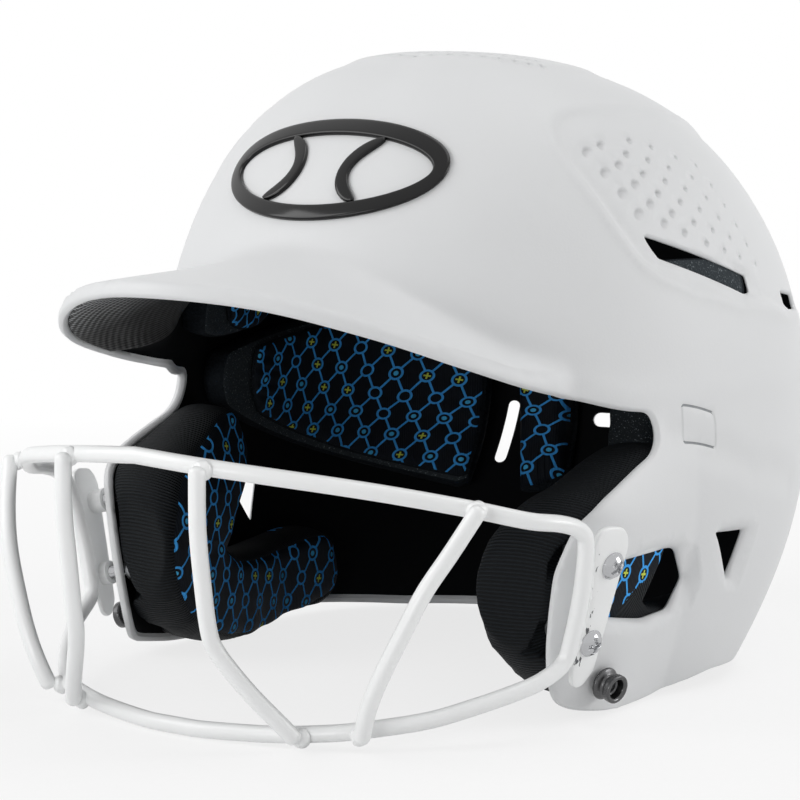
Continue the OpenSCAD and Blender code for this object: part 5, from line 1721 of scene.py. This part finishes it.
class HELMET_OT_screws(bpy.types.Operator):
    """Domed cross-head screws of the guard."""
    bl_idname = "helmet.screws"
    bl_label = "Guard screws"

    def execute(self, context):
        d = context.scene.helmet_guard.head
        # a dome cut from a ball of radius (r^2 + h^2) / 2h
        high = 2.8
        ball = (d * d / 4 + high * high) / (2 * high)
        r = np.concatenate([np.linspace(0.04, 2.9, 30), np.linspace(3.05, d / 2 - 0.12, 11)])
        dome = np.stack([r, np.sqrt(ball ** 2 - r ** 2) - ball + high + 0.05], -1)
        rest = np.array([[d / 2 - 0.02, 0.22], [d / 2, 0.14], [d / 2 - 0.05, 0.06], [2.1, 0.05], [2.0, 0.0],
                         [2.0, -17.6], [1.5, -18.3], [0.1, -18.35]])
        profile = np.vstack([dome, rest])

        def recess(turn):
            def dish(y, z, x):
                c, s = np.cos(turn), np.sin(turn)
                a, b = np.abs(c * y + s * z), np.abs(c * z - s * y)
                arm = np.maximum(blend((0.8 - a) / 0.2) * blend((2.7 - b) / 0.4),
                                 blend((0.8 - b) / 0.2) * blend((2.7 - a) / 0.4))
                heart = blend((1.5 - np.hypot(a, b)) / 0.8)
                return np.where(x > 0.3, np.maximum(arm * 1.5, heart * 2.0), 0)
            return dish

        parts = []
        for k, h in enumerate(SCREWS):
            for side in (1, -1):
                p, f = turned(profile, 72, recess(0.5 + 0.9 * k + 0.4 * side))
                p = on_plate(p + [0, 0, h])
                parts.append((p, f) if side > 0 else mirrored(p, f))
        steel = plated("polished chrome plate", setting("steel"), 0.1, 900.0)
        make_piece("guard_screw_set", *join(parts), [steel], "screw_chrome", nodes=["guard_screws"])
        return {"FINISHED"}


# a stud's profile as (radius, height), and its turns, which lay its height axis out of the shell, and place
STUD = np.array([[0.1, -7.4], [2, -7.4], [2, 1.5], [5, 1.5], [5.4, 1.9], [5.4, 2.7], [4.8, 3.1], [3.6, 3.7],
                 [3.3, 4.7], [4.5, 5.3], [4.8, 5.9], [4.8, 7.7], [4.5, 8], [3.7, 8], [3.1, 7.4], [2.9, 5],
                 [0.1, 5]])
STUD_TURN, STUD_PLACE = np.radians([0, 103.3 - 90, -9]), [99.2702, -38.45, 13.5]


class HELMET_OT_studs(bpy.types.Operator):
    """Snap studs for the chin strap."""
    bl_idname = "helmet.studs"
    bl_label = "Strap studs"

    def execute(self, context):
        keep = round_off(STUD[3:16], 0.16, 0.34, closed=False)
        points, faces = turned(np.vstack([STUD[:3], keep, [[1.6, 5.0]], STUD[16:]]), 72)
        points = rotated(points, STUD_TURN) + STUD_PLACE
        faces = turned_right(points - points.mean(0), faces)
        make_pair("{}_snap_stud", points, faces, [black_nickel()], "stud_metal", "{}_strap_stud")
        return {"FINISHED"}


class HELMET_OT_small_parts(bpy.types.Operator):
    """Finishes of the spacers, nuts and stud backs, which keep the frame's own shapes."""
    bl_idname = "helmet.small_parts"
    bl_label = "Small parts"

    def execute(self, context):
        dress("guard_spacers", plain_plastic())
        dress("guard_nuts", plated("zinc plate", linear("#A9ACAE"), 0.35, 600.0))
        dress("stud_backs", black_nickel())
        return {"FINISHED"}


# Stage


WHITE = (1, 1, 1, 1)
# strength of the white room's light, and the floor's half-width and height in millimetres
FILL, FLOOR_REACH, FLOOR_Z = 0.32, 3000.0, -0.2
# soft lamps: name, place and size in millimetres, and watts
LAMPS = (("key", (-800, -900, 900), 900, 7.9), ("top", (200, 300, 1400), 900, 4.5),
         ("side", (1200, 700, 500), 600, 6.6), ("low", (100, -1300, 60), 500, 5.4))
# the photo's camera, from its fit: place in metres, and the picture's right and up
CAMERA_PLACE = (0.5761, -0.78045, 0.2048)
CAMERA_RIGHT, CAMERA_UP = (0.8002, 0.5997, -0.0026), (-0.0661, 0.0926, 0.9935)


class HELMET_OT_stage(bpy.types.Operator):
    """Pale floor, soft lamps and the camera."""
    bl_idname = "helmet.stage"
    bl_label = "Stage"

    def execute(self, context):
        scene = context.scene
        scene.view_settings.view_transform = "Standard"
        if scene.world is None:
            scene.world = bpy.data.worlds.new("studio")
        scene.world.use_nodes = True
        tree = scene.world.node_tree
        tree.nodes.clear()
        path = add(tree, "LightPath").outputs
        seen = path["Is Camera Ray"]
        for ray in ("Is Glossy Ray", "Is Transmission Ray"):
            seen = add(tree, "Math", {0: seen, 1: path[ray]}, operation="MAXIMUM").outputs[0]
        fill, white = (add(tree, "Background", {0: WHITE, 1: power}).outputs[0]
                       for power in (FILL, 1.0))
        both = add(tree, "MixShader", {0: seen, 1: fill, 2: white})
        add(tree, "OutputWorld", {0: both.outputs[0]})

        mesh = bpy.data.meshes.new("floor")
        corners = [(x * FLOOR_REACH, y * FLOOR_REACH, FLOOR_Z)
                   for x, y in ((-1, -1), (1, -1), (1, 1), (-1, 1))]
        mesh.from_pydata((np.array(corners) * MM).tolist(), [], [[0, 1, 2, 3]])
        floor = bpy.data.objects.new("floor", mesh)
        scene.collection.objects.link(floor)
        mesh.materials.append(self.paper())

        middle = np.array([0, 0, 100.0])
        for name, spot, size, power in LAMPS:
            lamp = bpy.data.lights.new(name, "AREA")
            lamp.size = size * MM
            lamp.energy = power
            body = bpy.data.objects.new(name, lamp)
            spot = np.array(spot, float)
            body.location = spot * MM
            body.rotation_euler = Vector(middle - spot).to_track_quat("-Z", "Y").to_euler()
            scene.collection.objects.link(body)

        camera = bpy.data.cameras.new("camera")
        camera.sensor_width, camera.lens = 36, 126
        camera.clip_start, camera.clip_end = 0.05, 20
        body = bpy.data.objects.new("camera", camera)
        right, up = Vector(CAMERA_RIGHT), Vector(CAMERA_UP)
        back = right.cross(up)
        up = back.cross(right)
        turn = Matrix((right.normalized(), up.normalized(), back.normalized())).transposed().to_4x4()
        body.matrix_world = Matrix.Translation(Vector(CAMERA_PLACE)) @ turn
        scene.collection.objects.link(body)
        scene.camera = body
        return {"FINISHED"}

    def paper(self):
        """White paper that shows itself as almost white light, so that only a faint shadow is left; its far
        part passes into the white background."""
        material = bpy.data.materials.new("white paper sweep")
        material.use_nodes = True
        tree = material.node_tree
        tree.nodes.clear()
        path = add(tree, "LightPath").outputs
        seen = add(tree, "Math", {0: path["Is Camera Ray"], 1: path["Is Glossy Ray"]},
                   operation="MAXIMUM").outputs[0]
        where = add(tree, "TexCoord").outputs["Object"]
        # fibres about 3 mm long
        fibre = add(tree, "TexNoise", {"Vector": where, "Scale": 300.0, "Detail": 2.0}).outputs[0]
        tint = add(tree, "Mix", {0: fibre, 6: linear("#E8E8E8"), 7: linear("#F0F0F0")},
                   data_type="RGBA").outputs[2]
        plain = add(tree, "BsdfPrincipled", {"Base Color": tint, "Roughness": 0.9,
                                                       "Specular IOR Level": 0.1}).outputs[0]
        glow = add(tree, "Emission", {0: WHITE, 1: 1.0}).outputs[0]
        far = add(tree, "VectorMath", {0: where}, operation="LENGTH").outputs[1]
        share = add(tree, "MapRange", {0: far, 1: 0.2, 2: 0.75, 3: 0.78, 4: 1.0}).outputs[0]
        share = add(tree, "Math", {0: seen, 1: share}, operation="MULTIPLY").outputs[0]
        both = add(tree, "MixShader", {0: share, 1: plain, 2: glow})
        add(tree, "OutputMaterial", {0: both.outputs[0]})
        return material


GROUPS = {"helmet_shell": HelmetShellSizes, "helmet_soft": HelmetSoftSizes, "helmet_guard": HelmetGuardSizes,
          "helmet_colours": HelmetColours}
OPERATORS = (HELMET_OT_shell, HELMET_OT_liner, HELMET_OT_badge, HELMET_OT_foams, HELMET_OT_covers,
             HELMET_OT_ear_pads, HELMET_OT_wires, HELMET_OT_plates, HELMET_OT_screws, HELMET_OT_studs,
             HELMET_OT_small_parts, HELMET_OT_stage)


class HELMET_PT_build(bpy.types.Panel):
    """Lists the steps that build the helmet."""
    bl_idname = "HELMET_PT_build"
    bl_label = "Helmet"
    bl_space_type = "VIEW_3D"
    bl_region_type = "UI"
    bl_category = "Helmet"

    def draw(self, context):
        for step in OPERATORS:
            self.layout.operator(step.bl_idname)
        for name, group in GROUPS.items():
            box = self.layout.box()
            for key in group.__annotations__:
                box.prop(getattr(context.scene, name), key)


CLASSES = tuple(GROUPS.values()) + OPERATORS + (HELMET_PT_build,)


def register():
    for item in CLASSES:
        bpy.utils.register_class(item)
    for name, group in GROUPS.items():
        setattr(bpy.types.Scene, name, PointerProperty(type=group))


def unregister():
    for name in GROUPS:
        delattr(bpy.types.Scene, name)
    for item in reversed(CLASSES):
        bpy.utils.unregister_class(item)


def main():
    register()
    for step in OPERATORS:
        group, name = step.bl_idname.split(".")
        getattr(getattr(bpy.ops, group), name)()


if __name__ == "__main__":
    main()
